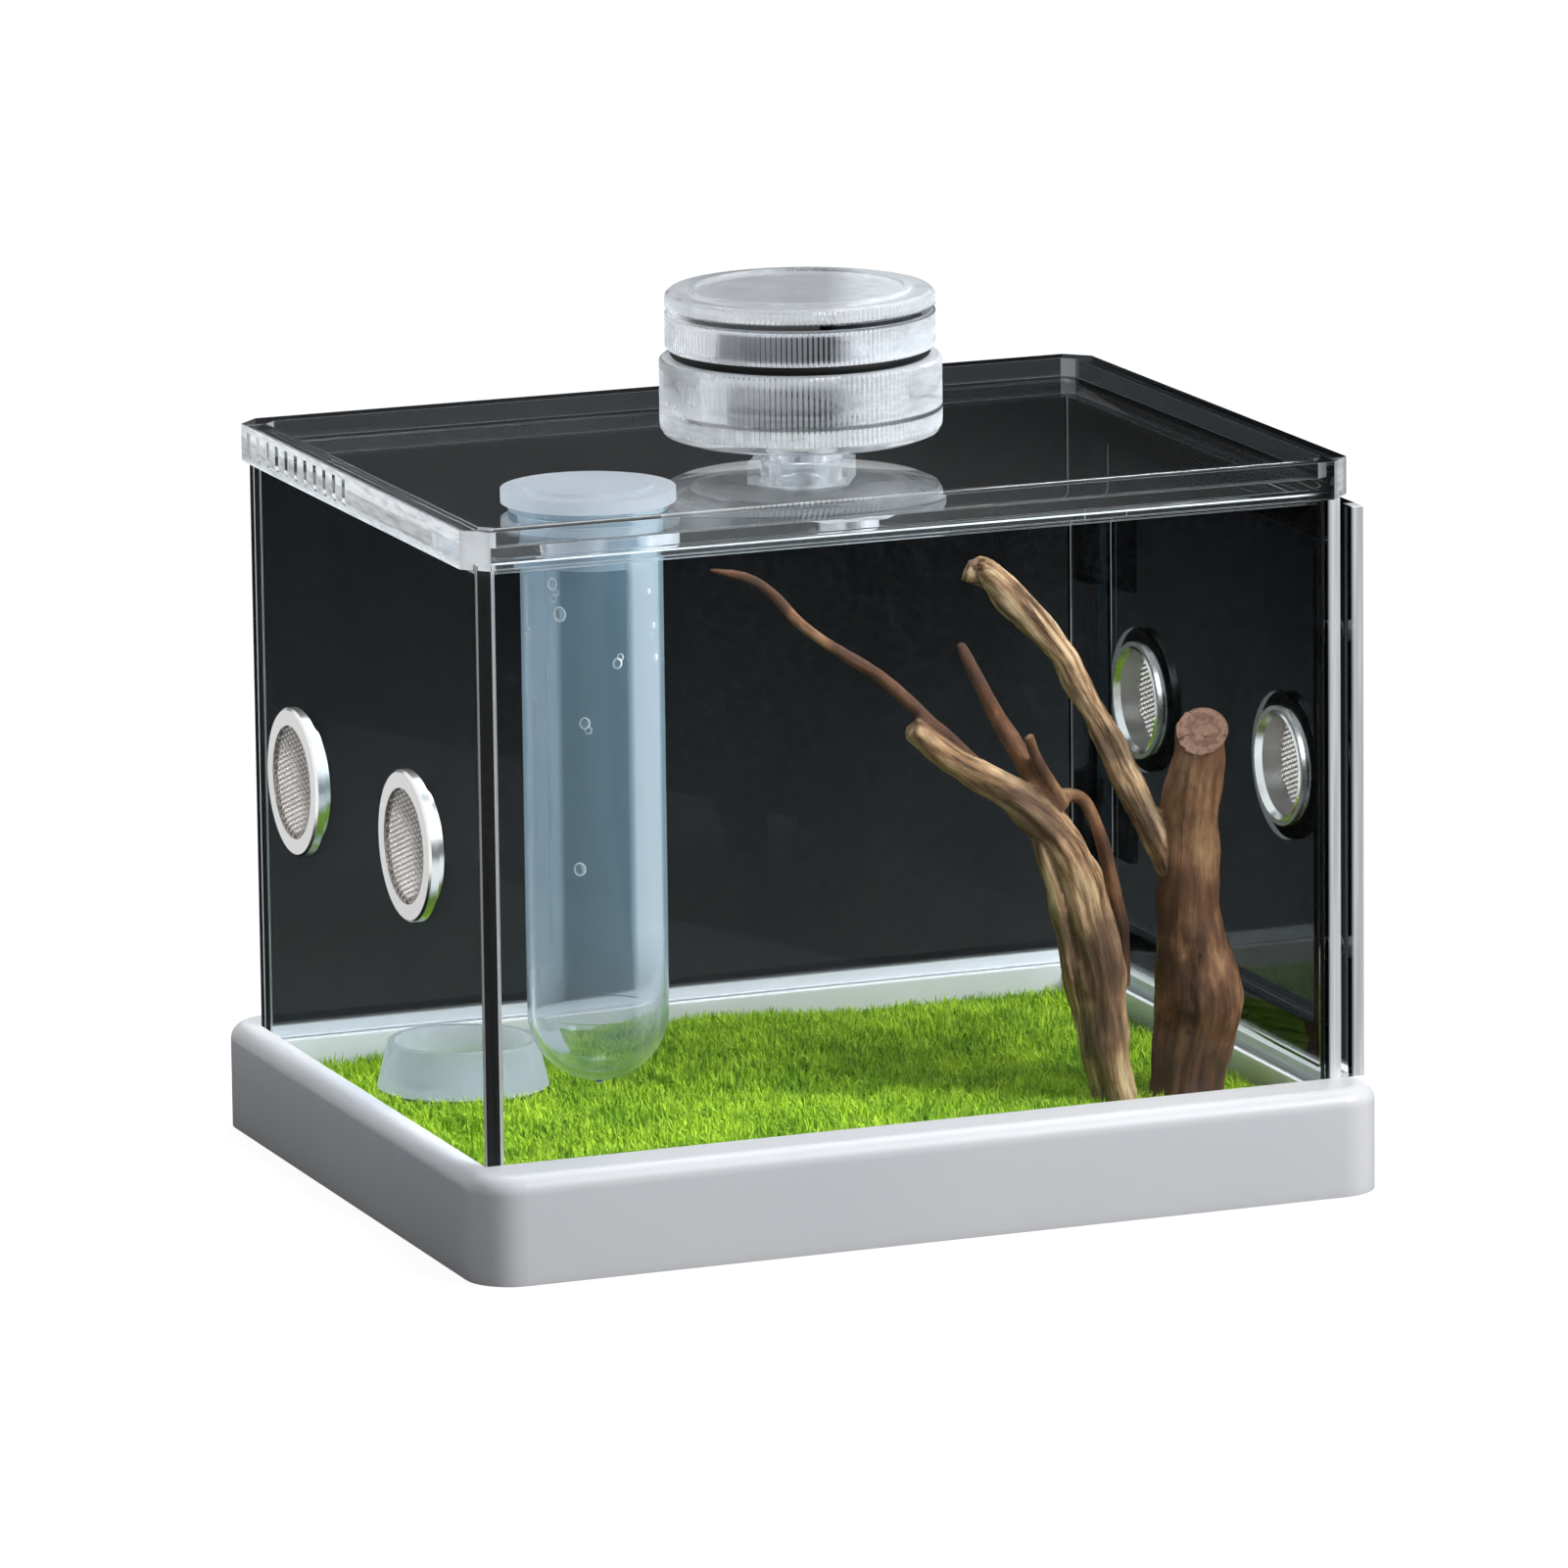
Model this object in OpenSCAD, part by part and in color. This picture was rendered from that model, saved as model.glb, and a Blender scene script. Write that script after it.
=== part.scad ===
// Clear keeper box for a small pet: a milky tray carries four clear walls, a lid with a
// screw-top feeder and a hanging water tube, a hinged side door and four mesh vents.
// Millimetres, +Z up, +X right, +Y back. The origin is the centre of the tray's underside.

/* [Box] */
// Outer width of the clear walls, left to right
body_w = 156; // [140:1:190]
// Outer depth of the clear walls, front to back
body_d = 114; // [112:1:140]
// Height of the walls, from the seat in the tray to their top edge
wall_h = 104.5; // [87:0.5:126]
// Thickness of the wall sheets
wall_t = 3; // [2.5:0.1:3.6]

/* [Base tray] */
// Height of the tray
tray_h = 18.5; // [15.5:0.5:22.5]
// Rim of the tray beyond the walls, left and right
rim_side = 4.5; // [4:0.5:8]
// Rim of the tray beyond the walls, front and back
rim_front = 10; // [5:0.5:14]
// Radius of the tray's upright corners
tray_corner_r = 8; // [4:0.5:10]
// Radius of the rounded top edge of the tray
tray_edge_r = 3; // [1:0.5:3.5]
// Thickness of the tray's floor
tray_floor_t = 3; // [2:0.5:4]
// Depth of the rebate that the walls stand in
seat_depth = 2.5; // [1.5:0.5:3.5]
// Width of the ledge that shows inside the walls
ledge_w = 0.8; // [0.4:0.1:2]

/* [Turf] */
// Thickness of the turf mat between its mounds
turf_t = 9; // [7:0.5:11]
// Height of the highest mound above the mat
mound_h = 3; // [1:0.5:4]

/* [Lid] */
// Thickness of the lid's panel
panel_t = 2.2; // [1.8:0.1:3]
// Height of the raised border above the panel
border_h = 3.2; // [2:0.1:5]
// Width of the raised border
border_w = 4; // [3:0.5:6]
// Wall of the skirt that goes round the outside of the walls
skirt_t = 1.7; // [1.4:0.1:2.5]
// How far the skirt hangs below the walls' top edge
skirt_drop = 1; // [0.8:0.1:1.2]
// Height of the locating lip inside the walls
lip_h = 2.5; // [1.5:0.5:4]
// Size of the cut across the lid's upright corners
lid_corner = 4; // [2:0.5:6]
// Number of grip notches along the left border
notch_count = 11; // [3:1:12]
// Distance from one grip notch to the next
notch_pitch = 4.9; // [4:0.1:5.5]

/* [Side door] */
// Thickness of the door sheet
door_t = 3; // [2.5:0.1:3.5]
// How far the door's front edge stands proud, as a finger grip
door_proud = 2; // [1:0.5:3]
// Front post of the door frame
post_front = 6; // [5.5:0.5:7]
// Rear post of the door frame, which carries the hinges
post_rear = 14; // [13:0.5:18]
// Rail of the door frame above the window
rail_top = 9; // [6:0.5:14]
// Rail of the door frame below the window
rail_bottom = 11; // [8:0.5:16]
// Height of a hinge
hinge_h = 14; // [12:1:20]
// Radius of the hinge pins
hinge_pin_r = 0.9; // [0.7:0.05:1.1]

/* [Vents] */
// Radius of a vent's flange
vent_flange_r = 12.9; // [11.5:0.1:14]
// Thickness of a vent's flange
vent_flange_t = 1.8; // [1.6:0.1:3]
// Radius of a vent's sleeve, which passes through the sheet
vent_sleeve_r = 9.6; // [9:0.1:10.4]
// How far a vent's sleeve reaches past the sheet, inside
vent_sleeve_past = 1.1; // [0.9:0.1:3]
// Distance between the two vents of the left wall
vent_spacing_left = 57; // [50:1:62]
// Distance between the two vents of the door
vent_spacing_door = 62; // [50:1:62]

/* [Water tube] */
// Outer radius of the water tube
tube_r = 12; // [10:0.1:14.4]
// Wall of the water tube
tube_wall = 1.2; // [1:0.1:1.5]
// Height of the water tube's tip above the turf
tube_clear = 12; // [6:0.5:30]
// Radius of the plug's flange
plug_flange_r = 14.75; // [14:0.05:18]
// Length of the plug inside the tube
plug_l = 10; // [6:0.5:16]

/* [Feeder] */
// Outer radius of the feeder cup
cup_r = 24.25; // [20.3:0.05:29]
// Height of the feeder cup's knurled wall
cup_h = 13.6; // [11:0.1:17]
// Height of the neck between the lid and the cup
neck_h = 4.2; // [3:0.1:8]
// Radius of the bore that the food falls through
feed_bore_r = 3.75; // [3:0.05:4.5]
// Height of the feeder cap
cap_h = 9.8; // [9:0.1:13]
// Number of ridges round the cup and the cap
knurl_count = 72; // [36:4:96]

/* [Furnishings] */
// Radius of the feeding dish at its foot
dish_r = 13.8; // [11:0.1:17]
// Height of the feeding dish
dish_h = 8; // [6:0.5:12]

/* [Hidden] */
$fn = 64;

eps = 0.01;            // overshoot of a cut past a face
seat_gap = 0.1;        // between a loose piece and what it rests on
glide_gap = 0.3;       // beside a piece that lifts out
run_gap = 0.05;        // round a pin or a pressed disc
fit_gap = 0.1;         // round a vent's sleeve and the plug's body

// Tray and walls
tray_w = body_w + 2 * rim_side;
tray_d = body_d + 2 * rim_front;
seat_z = tray_h - seat_depth;
wall_top = seat_z + wall_h;
cabin_w = body_w - 2 * wall_t;
cabin_d = body_d - 2 * wall_t;
pan_w = cabin_w - 2 * ledge_w;
pan_d = cabin_d - 2 * ledge_w;

// Turf
turf_gap = 0.3;
turf_w = pan_w - 2 * turf_gap;
turf_d = pan_d - 2 * turf_gap;
turf_z = tray_floor_t + turf_t;
// Mounds: place as a share of the mat, radius at the mat, height as a share of mound_h
mounds = [
    [[0.02, 0.20], 30, 1],
    [[0.28, 0.28], 20, 0.7],
    [[-0.12, -0.24], 26, 0.6],
    [[-0.36, -0.02], 12, 0.5]
];

// Lid
lid_w = body_w + 2 * (glide_gap + skirt_t);
lid_d = body_d + 2 * (glide_gap + skirt_t);
panel_z = wall_top + seat_gap;
panel_top = panel_z + panel_t;
lid_top = panel_top + border_h;
skirt_z = wall_top - skirt_drop;
lip_t = 1.5;
lip_gap = 0.4;
notch_w = 2;
notch_depth = 0.6;
notch_back = 9;        // from the back of the lid to the first notch

// Side door: the sheet lies outside the frame and turns about an upright axis at its rear edge
door_gap = 0.4;
door_x = body_w / 2 + door_gap;
door_front = -body_d / 2 - door_proud;
door_z = tray_h + door_gap;
door_top = skirt_z - 1.5;
knuckle_r = 2;
leaf_t = 1.5;
leaf_gap = 0.6;
leaf_w = 8;
hinge_x = door_x + door_t + leaf_t - knuckle_r;
hinge_y = body_d / 2 - 8;
door_rear = hinge_y - knuckle_r - leaf_gap;
knuckle_gap = 0.4;
knuckle_h = (hinge_h - 2 * knuckle_gap) / 3;
hinge_inset = 18;      // from the door's ends to its hinges
hinge_low = door_z + hinge_inset;
hinge_high = door_top - hinge_inset - hinge_h;
magnet_r = 2;
magnet_t = 2;
magnet_y = -body_d / 2 + post_front / 2;
magnet_inset = 22;     // from the door's ends to its magnets

// Vents
vent_x_left = -body_w / 2;
vent_x_door = door_x + door_t;
vent_y_left = 4.2;     // middle of the pair in the left wall
vent_y_door = 0.7;     // middle of the pair in the door
vent_z_left = tray_h + 48.3;
vent_z_door = tray_h + 49.6;
vent_mesh_r = vent_sleeve_r + 0.2;
vent_bore_r = vent_sleeve_r - 0.9;
vent_mesh_t = 0.5;
vent_mesh_inset = 0.5; // from the flange's face to the mesh
vent_ring_r = vent_sleeve_r + 0.8;
vent_ring_t = 0.8;
mesh_hole = 1.5;
mesh_pitch = 2.15;

// Water tube
tube_x = -body_w / 2 + 30.5;
tube_y = -body_d / 2 + 28;
tube_lip_r = tube_r + 1.5;
tube_lip_t = 1.2;
tube_lip_z = panel_top + seat_gap;
tube_top = tube_lip_z + tube_lip_t;
tube_nib_r = 0.8;
tube_round_z = turf_z + tube_clear + tube_nib_r + tube_r;
plug_z = tube_top + seat_gap;
plug_flange_t = 2.2;
plug_disc_r = plug_flange_r - 3.75;
plug_disc_t = 0.7;
plug_wall = 2;

// Feeder
feeder_x = 2.5;
feeder_y = 0;
neck_r = feed_bore_r + 3.25;
stub_r = feed_bore_r + 1.75;
stub_l = 4.5;          // below the lid's panel
nut_r = 10;
nut_h = 3.6;
cup_z = panel_top + neck_h;
cup_floor_t = 3;
cup_top = cup_z + cup_h;
cup_foot_r = 2.2;      // rounding under the cup
spigot_r = cup_r - 3.55;
spigot_wall = 2.1;
spigot_h = 5;
seal_r = 0.8;
seal_ring_r = spigot_r + run_gap + seal_r;
cap_z = cup_top + 2 * (seal_r + run_gap);
cap_r = cup_r - 1.05;
cap_top_t = 2.2;
cap_edge = 0.9;
cap_ring_r = cap_r - 4;
cap_ring_w = 1.5;
cap_ring_h = 0.5;
groove_h = 1.1;
groove_depth = 0.7;
groove_z = cap_z + cap_h * 0.62;
knurl_depth = 0.35;

// Feeding dish
dish_x = -body_w / 2 + 27.5;
dish_y = body_d / 2 - 30;
dish_wall = 1.2;
dish_floor_t = 1.5;
dish_taper = 2;         // from the foot to the rim

// Driftwood: every branch is a list of [x, y, z, radius], chosen by hand for a cabin of
// the size in wood_cabin, and it stretches with the cabin. z starts at the turf.
wood_cabin = [150, 108, 106.5];
wood_stretch = [
    cabin_w / wood_cabin[0],
    cabin_d / wood_cabin[1],
    (wall_top - turf_z) / (wood_cabin[2] + 2)
];
wood_sides = 9;
left_trunk = [
    [48, -30, -2, 3.3], [46, -30, 6.5, 3.3], [45, -30, 14, 3.8], [44, -30, 23, 4.2],
    [42, -30, 32, 4.4], [40, -30, 39.5, 4.3], [37, -30, 46.5, 3.9], [32.5, -30, 51.5, 3.4],
    [25.5, -30, 57, 2.9], [16.5, -30, 63, 2.4], [10, -30, 68.5, 2]
];
left_strand = [
    [45.5, -27, -2, 1.2], [42.5, -28, 9.5, 1.5], [40.5, -29, 18, 1.7], [38, -30, 28.5, 1.8],
    [35.5, -30.5, 39.5, 1.8], [33.5, -30.5, 46, 1.7], [33, -30.5, 50, 1.3]
];
left_flank = [
    [50, -28, 19, 0.8], [50, -27, 27.5, 1.2], [48.5, -27, 35, 1.3], [47, -27, 42, 1.3],
    [44.5, -28, 48, 1.3], [42, -28, 53, 1.2], [37.5, -29, 54.5, 1.1]
];
left_red = [
    [35.5, -30, 52, 2], [32, -29, 59, 1.8], [29.5, -27, 64, 1.6], [26, -25, 71, 1.4],
    [23, -24, 77.5, 1.2], [21.5, -23, 81, 0.9]
];
left_stub = [
    [37.5, -30, 52.5, 1.6], [34, -31, 58, 1.3], [31.5, -32, 62.5, 1.1], [30, -33, 66, 1]
];
left_twig = [
    [22, -30, 60.5, 1.4], [14.5, -28, 68.5, 1.2], [5.5, -27, 77, 1.1], [-1, -27, 81.5, 1],
    [-9, -27, 87.5, 1], [-14, -27, 93, 1.1], [-19, -27.5, 96.5, 0.9], [-26, -28, 98.5, 0.5]
];
right_trunk = [
    [60, -30, -2, 6.2], [60.5, -30, 4, 6.4], [61.5, -30, 9, 6.8], [63, -30, 15.5, 7.8],
    [62, -30, 22, 7.1], [61, -30, 30, 5.9], [61, -30, 38.5, 5.3], [61, -30, 47, 4.9],
    [62, -30, 54, 4.8], [63, -30, 60, 4.6], [63.5, -30, 63.5, 4.4], [64, -30, 68.5, 4.3]
];
saw_cut = 10;           // the trunk is sawn off at this one of its points
saw_tilt = 35;          // slope of the sawn face
saw_turn = -21;         // way that the sawn face looks, from the front
right_branch = [
    [57.5, -30, 40, 2.4], [55, -29, 46, 2.5], [51, -27, 55, 2.5], [47.5, -25, 63.5, 2.5],
    [44, -23, 70.5, 2.4], [41, -21, 77, 2.5], [37.5, -19.5, 82, 2.6], [33, -18, 87.5, 2.8],
    [29.5, -17, 91.5, 2.5], [27, -16.5, 93.5, 1.5]
];
right_fork = [
    [30, -16.5, 90.5, 1.5], [26.5, -16, 92, 1.2], [24, -15.5, 92.5, 0.7]
];

// A rectangle centred on the origin, with its corners cut off
module cut_corner_plate(w, d, cut, h) {
    x = w / 2;
    y = d / 2;
    linear_extrude(h)
        polygon([
            [-x + cut, -y], [x - cut, -y], [x, -y + cut], [x, y - cut],
            [x - cut, y], [-x + cut, y], [-x, y - cut], [-x, -y + cut]
        ]);
}

// A box centred in x and y that stands on z = 0
module slab(w, d, h) {
    translate([-w / 2, -d / 2, 0])
        cube([w, d, h]);
}

// An upright block with round corners, its top edge rounded as well
module rounded_block(w, d, h, corner_r, edge_r) {
    for (sx = [-1, 1])
        for (sy = [-1, 1])
            translate([sx * (w / 2 - corner_r), sy * (d / 2 - corner_r), 0])
                rounded_post(h, corner_r, edge_r);
    for (side = [-1, 1]) {
        translate([side * (w / 2 - corner_r), 0, 0])
            edge_bar(d - 2 * corner_r, h, corner_r, edge_r, side);
        translate([0, side * (d / 2 - corner_r), 0])
            rotate([0, 0, 90])
                edge_bar(w - 2 * corner_r, h, corner_r, edge_r, side);
    }
    slab(w - 2 * corner_r, d - 2 * corner_r, h);
}

// Section of the rounded edge, from the middle of the corner outwards
module edge_section(h, corner_r, edge_r) {
    square([corner_r, h - edge_r]);
    square([corner_r - edge_r, h]);
    translate([corner_r - edge_r, h - edge_r])
        intersection() {
            circle(edge_r);
            square(edge_r);
        }
}

module rounded_post(h, corner_r, edge_r) {
    rotate_extrude()
        edge_section(h, corner_r, edge_r);
}

module edge_bar(l, h, corner_r, edge_r, side) {
    translate([0, l / 2, 0])
        rotate([90, 0, 0])
            linear_extrude(l)
                scale_x(side)
                    edge_section(h, corner_r, edge_r);
}

// Mirrors a flat shape to the left where side is -1
module scale_x(side) {
    if (side < 0)
        mirror([1, 0])
            children();
    else
        children();
}

module base_tray() {
    color([0.93, 0.94, 0.96])
        difference() {
            rounded_block(tray_w, tray_d, tray_h, tray_corner_r, tray_edge_r);
            translate([0, 0, tray_floor_t])
                slab(pan_w, pan_d, tray_h);
            translate([0, 0, seat_z])
                slab(body_w + 2 * seat_gap, body_d + 2 * seat_gap, tray_h);
        }
}

module end_wall(side) {
    color([0.75, 0.85, 0.9, 0.35])
        translate([0, side * (body_d - wall_t) / 2, seat_z])
            slab(cabin_w, wall_t, wall_h);
}

module left_wall() {
    color([0.75, 0.85, 0.9, 0.35])
        difference() {
            translate([-(body_w - wall_t) / 2, 0, seat_z])
                slab(wall_t, body_d, wall_h);
            for (side = [-1, 1])
                vent_place(false, side)
                    cylinder(r = vent_sleeve_r + fit_gap, h = 4 * wall_t, center = true);
        }
}

module right_frame() {
    window_y = -body_d / 2 + post_front;
    window_d = body_d - post_front - post_rear;
    window_z = seat_z + rail_bottom;
    window_h = wall_h - rail_top - rail_bottom;
    color([0.75, 0.85, 0.9, 0.35])
        difference() {
            translate([(body_w - wall_t) / 2, 0, seat_z])
                slab(wall_t, body_d, wall_h);
            translate([body_w / 2 - 2 * wall_t, window_y, window_z])
                cube([3 * wall_t, window_d, window_h]);
            magnet_pair(body_w / 2 - magnet_t, magnet_t + eps, run_gap);
        }
}

// A mound is the top of a large ball that just shows above the mat
module mound(place, foot_r, h) {
    ball_r = (foot_r * foot_r + h * h) / (2 * h);
    translate([place[0] * turf_w, place[1] * turf_d, turf_z + h - ball_r])
        intersection() {
            sphere(ball_r, $fn = 96);
            translate([0, 0, ball_r - h - 1])
                cylinder(r = foot_r + 1, h = h + 2);
        }
}

module turf_mat() {
    color([0.35, 0.62, 0.08])
        union() {
            translate([0, 0, tray_floor_t])
                slab(turf_w, turf_d, turf_t);
            for (m = mounds)
                mound(m[0], m[1], m[2] * mound_h);
        }
}

// The door's hinges, magnets and vents move with it
module side_door() {
    color([0.78, 0.86, 0.92, 0.35])
        difference() {
            translate([door_x, door_front, door_z])
                cube([door_t, door_rear - door_front, door_top - door_z]);
            for (side = [-1, 1])
                vent_place(true, side)
                    cylinder(r = vent_sleeve_r + fit_gap, h = 4 * door_t, center = true);
            magnet_pair(door_x - eps, magnet_t + eps, run_gap);
        }
}

module magnet_pair(x, l, gap) {
    for (z = [door_z + magnet_inset, door_top - magnet_inset])
        translate([x, magnet_y, z])
            rotate([0, 90, 0])
                cylinder(r = magnet_r + gap, h = l, $fn = 32);
}

module frame_magnets() {
    color([0.75, 0.76, 0.78])
        magnet_pair(body_w / 2 - magnet_t, magnet_t, 0);
}

module door_magnets() {
    color([0.75, 0.76, 0.78])
        magnet_pair(door_x, magnet_t, 0);
}

// A knuckle from height z0 up, with its web to the leaf on the given side
module knuckle(z0, h, toward_rear) {
    web_d = knuckle_r + leaf_gap;
    translate([hinge_x, hinge_y, z0])
        difference() {
            union() {
                cylinder(r = knuckle_r, h = h, $fn = 32);
                if (toward_rear)
                    translate([body_w / 2 - hinge_x, 0, 0])
                        cube([leaf_t, web_d, h]);
                else
                    translate([knuckle_r - leaf_t, -web_d, 0])
                        cube([leaf_t, web_d, h]);
                if (toward_rear)
                    translate([body_w / 2 - hinge_x, 0, 0])
                        cube([hinge_x - body_w / 2, knuckle_r, h]);
            }
            translate([0, 0, -eps])
                cylinder(r = hinge_pin_r + run_gap, h = h + 2 * eps, $fn = 32);
        }
}

// Leaf on the frame's rear post: two knuckles, at the ends of the hinge
module frame_leaf(z) {
    leaf_y = hinge_y + knuckle_r + leaf_gap;
    color([0.8, 0.87, 0.92, 0.4])
        union() {
            translate([body_w / 2, leaf_y, z])
                cube([leaf_t, body_d / 2 - leaf_y, hinge_h]);
            for (z0 = [z, z + hinge_h - knuckle_h])
                knuckle(z0, knuckle_h, true);
        }
}

// Leaf on the door's outer face: one knuckle, between the frame's two
module door_leaf(z) {
    color([0.8, 0.87, 0.92, 0.4])
        union() {
            translate([door_x + door_t, door_rear - leaf_w, z])
                cube([leaf_t, leaf_w, hinge_h]);
            knuckle(z + knuckle_h + knuckle_gap, knuckle_h, false);
        }
}

module hinge_pin(z) {
    head_h = 0.7;
    color([0.8, 0.8, 0.82])
        translate([hinge_x, hinge_y, z]) {
            cylinder(r = hinge_pin_r, h = hinge_h + 2 * seat_gap, $fn = 32);
            translate([0, 0, hinge_h + seat_gap])
                cylinder(r = hinge_pin_r + 0.6, h = head_h, $fn = 32);
        }
}

// Puts a vent on its place, its axis along X and its flange outside.
// side is 1 for the rear vent of a pair and -1 for the front one.
module vent_place(on_door, side) {
    x = on_door ? vent_x_door : vent_x_left;
    spacing = on_door ? vent_spacing_door : vent_spacing_left;
    y = (on_door ? vent_y_door : vent_y_left) + side * spacing / 2;
    z = on_door ? vent_z_door : vent_z_left;
    translate([x, y, z])
        rotate([0, on_door ? 90 : -90, 0])
            children();
}

// Flange from z = 0 outwards, sleeve from z = 0 inwards
module vent_housing(on_door, side) {
    flare = 1.2;
    inner_end = -(on_door ? door_t : wall_t) - vent_sleeve_past;
    color([0.8, 0.8, 0.8])
        vent_place(on_door, side)
            rotate_extrude()
                polygon([
                    [vent_bore_r, inner_end + flare],
                    [vent_sleeve_r - 0.3, inner_end],
                    [vent_sleeve_r, inner_end + 0.3],
                    [vent_sleeve_r, 0],
                    [vent_flange_r, 0],
                    [vent_flange_r, vent_flange_t - 0.4],
                    [vent_flange_r - 0.4, vent_flange_t],
                    [vent_mesh_r + run_gap, vent_flange_t],
                    [vent_mesh_r + run_gap, vent_flange_t - vent_mesh_inset - vent_mesh_t],
                    [vent_bore_r, vent_flange_t - vent_mesh_inset - vent_mesh_t]
                ]);
}

// Centres of the mesh openings: a square grid, kept where an opening fits inside the rim
function mesh_centres() = [
    for (i = [-4:4])
        for (j = [-4:4])
            if (norm([i, j]) * mesh_pitch < vent_mesh_r - mesh_hole)
                [i * mesh_pitch, j * mesh_pitch]
];

module vent_mesh(on_door, side) {
    color([0.62, 0.61, 0.58])
        vent_place(on_door, side)
            translate([0, 0, vent_flange_t - vent_mesh_inset - vent_mesh_t])
                linear_extrude(vent_mesh_t)
                    difference() {
                        circle(vent_mesh_r);
                        for (c = mesh_centres())
                            translate(c)
                                square(mesh_hole, center = true);
                    }
}

module vent_ring(on_door, side) {
    sheet_t = on_door ? door_t : wall_t;
    color([0.8, 0.8, 0.8])
        vent_place(on_door, side)
            translate([0, 0, -sheet_t - vent_ring_t])
                difference() {
                    cylinder(r = vent_ring_r, h = vent_ring_t);
                    translate([0, 0, -eps])
                        cylinder(r = vent_sleeve_r + run_gap, h = vent_ring_t + 2 * eps);
                }
}

module lid() {
    color([0.78, 0.86, 0.92, 0.4])
        difference() {
            union() {
                lid_shell();
                lid_lip();
            }
            translate([tube_x, tube_y, 0])
                cylinder(r = tube_r + glide_gap, h = lid_top);
            translate([feeder_x, feeder_y, 0])
                cylinder(r = stub_r + run_gap, h = lid_top);
            for (i = [0:notch_count - 1])
                translate([-lid_w / 2 - eps, lid_d / 2 - notch_back - i * notch_pitch, panel_z])
                    cube([notch_depth + eps, notch_w, lid_top - panel_z - 1]);
        }
}

// Panel, raised border above it and skirt below it
module lid_shell() {
    difference() {
        translate([0, 0, skirt_z])
            cut_corner_plate(lid_w, lid_d, lid_corner, lid_top - skirt_z);
        translate([0, 0, panel_top])
            cut_corner_plate(lid_w - 2 * border_w, lid_d - 2 * border_w, lid_corner / 2, border_h + eps);
        translate([0, 0, skirt_z - eps])
            slab(body_w + 2 * glide_gap, body_d + 2 * glide_gap, panel_z - skirt_z + eps);
    }
}

module lid_lip() {
    lip_w = cabin_w - 2 * lip_gap;
    lip_d = cabin_d - 2 * lip_gap;
    translate([0, 0, panel_z - lip_h])
        difference() {
            slab(lip_w, lip_d, lip_h + eps);
            translate([0, 0, -eps])
                slab(lip_w - 2 * lip_t, lip_d - 2 * lip_t, lip_h + eps);
        }
}

// Outline with shallow ridges all the way round
module knurl_outline(r) {
    step = 180 / knurl_count;
    polygon([
        for (i = [0:2 * knurl_count - 1])
            (r - (i % 2) * knurl_depth) * [cos(i * step), sin(i * step)]
    ]);
}

module feeder_cup() {
    color([0.85, 0.88, 0.92, 0.5])
        translate([feeder_x, feeder_y, 0])
            difference() {
                union() {
                    translate([0, 0, cup_z])
                        cup_wall();
                    translate([0, 0, panel_top])
                        cylinder(r = neck_r, h = neck_h + eps);
                    translate([0, 0, panel_z - stub_l])
                        cylinder(r = stub_r, h = stub_l + panel_t + eps);
                    translate([0, 0, cup_top - eps])
                        cylinder(r = spigot_r, h = spigot_h + eps);
                }
                translate([0, 0, cup_z + cup_floor_t])
                    cylinder(r = spigot_r - spigot_wall, h = cup_h + spigot_h);
                translate([0, 0, panel_z - stub_l - eps])
                    cylinder(r = feed_bore_r, h = cup_z + cup_floor_t);
            }
}

// The knurled wall, above a smooth foot with a rounded edge
module cup_wall() {
    foot_r = cup_r - knurl_depth;
    translate([0, 0, cup_foot_r])
        linear_extrude(cup_h - cup_foot_r)
            knurl_outline(cup_r);
    rotate_extrude()
        union() {
            square([foot_r - cup_foot_r, cup_foot_r + eps]);
            translate([foot_r - cup_foot_r, cup_foot_r])
                intersection() {
                    circle(cup_foot_r);
                    translate([0, -cup_foot_r])
                        square(cup_foot_r);
                }
        }
}

module feeder_nut() {
    color([0.85, 0.88, 0.92, 0.5])
        translate([feeder_x, feeder_y, panel_z - nut_h])
            difference() {
                cylinder(r = nut_r, h = nut_h, $fn = 6);
                translate([0, 0, -eps])
                    cylinder(r = stub_r + run_gap, h = nut_h + 2 * eps);
            }
}

module feeder_seal() {
    color([0.06, 0.06, 0.07])
        translate([feeder_x, feeder_y, cup_top + seal_r + run_gap])
            rotate_extrude()
                translate([seal_ring_r, 0])
                    circle(seal_r, $fn = 24);
}

module feeder_cap() {
    color([0.85, 0.88, 0.92, 0.5])
        translate([feeder_x, feeder_y, 0])
            union() {
                difference() {
                    translate([0, 0, cap_z])
                        cap_shell();
                    translate([0, 0, cap_z - eps])
                        cylinder(r = spigot_r + glide_gap, h = cap_h - cap_top_t + eps);
                }
                translate([0, 0, cap_z + cap_h - eps])
                    difference() {
                        cylinder(r = cap_ring_r, h = cap_ring_h + eps);
                        translate([0, 0, -1])
                            cylinder(r = cap_ring_r - cap_ring_w, h = cap_ring_h + 2);
                    }
            }
}

// The knurled outside of the cap: a groove round it and a cut top edge
module cap_shell() {
    intersection() {
        linear_extrude(cap_h)
            knurl_outline(cap_r);
        rotate_extrude($fn = 96)
            polygon([
                [0, 0],
                [cap_r + 1, 0],
                [cap_r + 1, groove_z - cap_z],
                [cap_r - groove_depth, groove_z - cap_z],
                [cap_r - groove_depth, groove_z - cap_z + groove_h],
                [cap_r + 1, groove_z - cap_z + groove_h],
                [cap_r + 1, cap_h - cap_edge - 1],
                [cap_r - cap_edge, cap_h],
                [0, cap_h]
            ]);
    }
}

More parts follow.
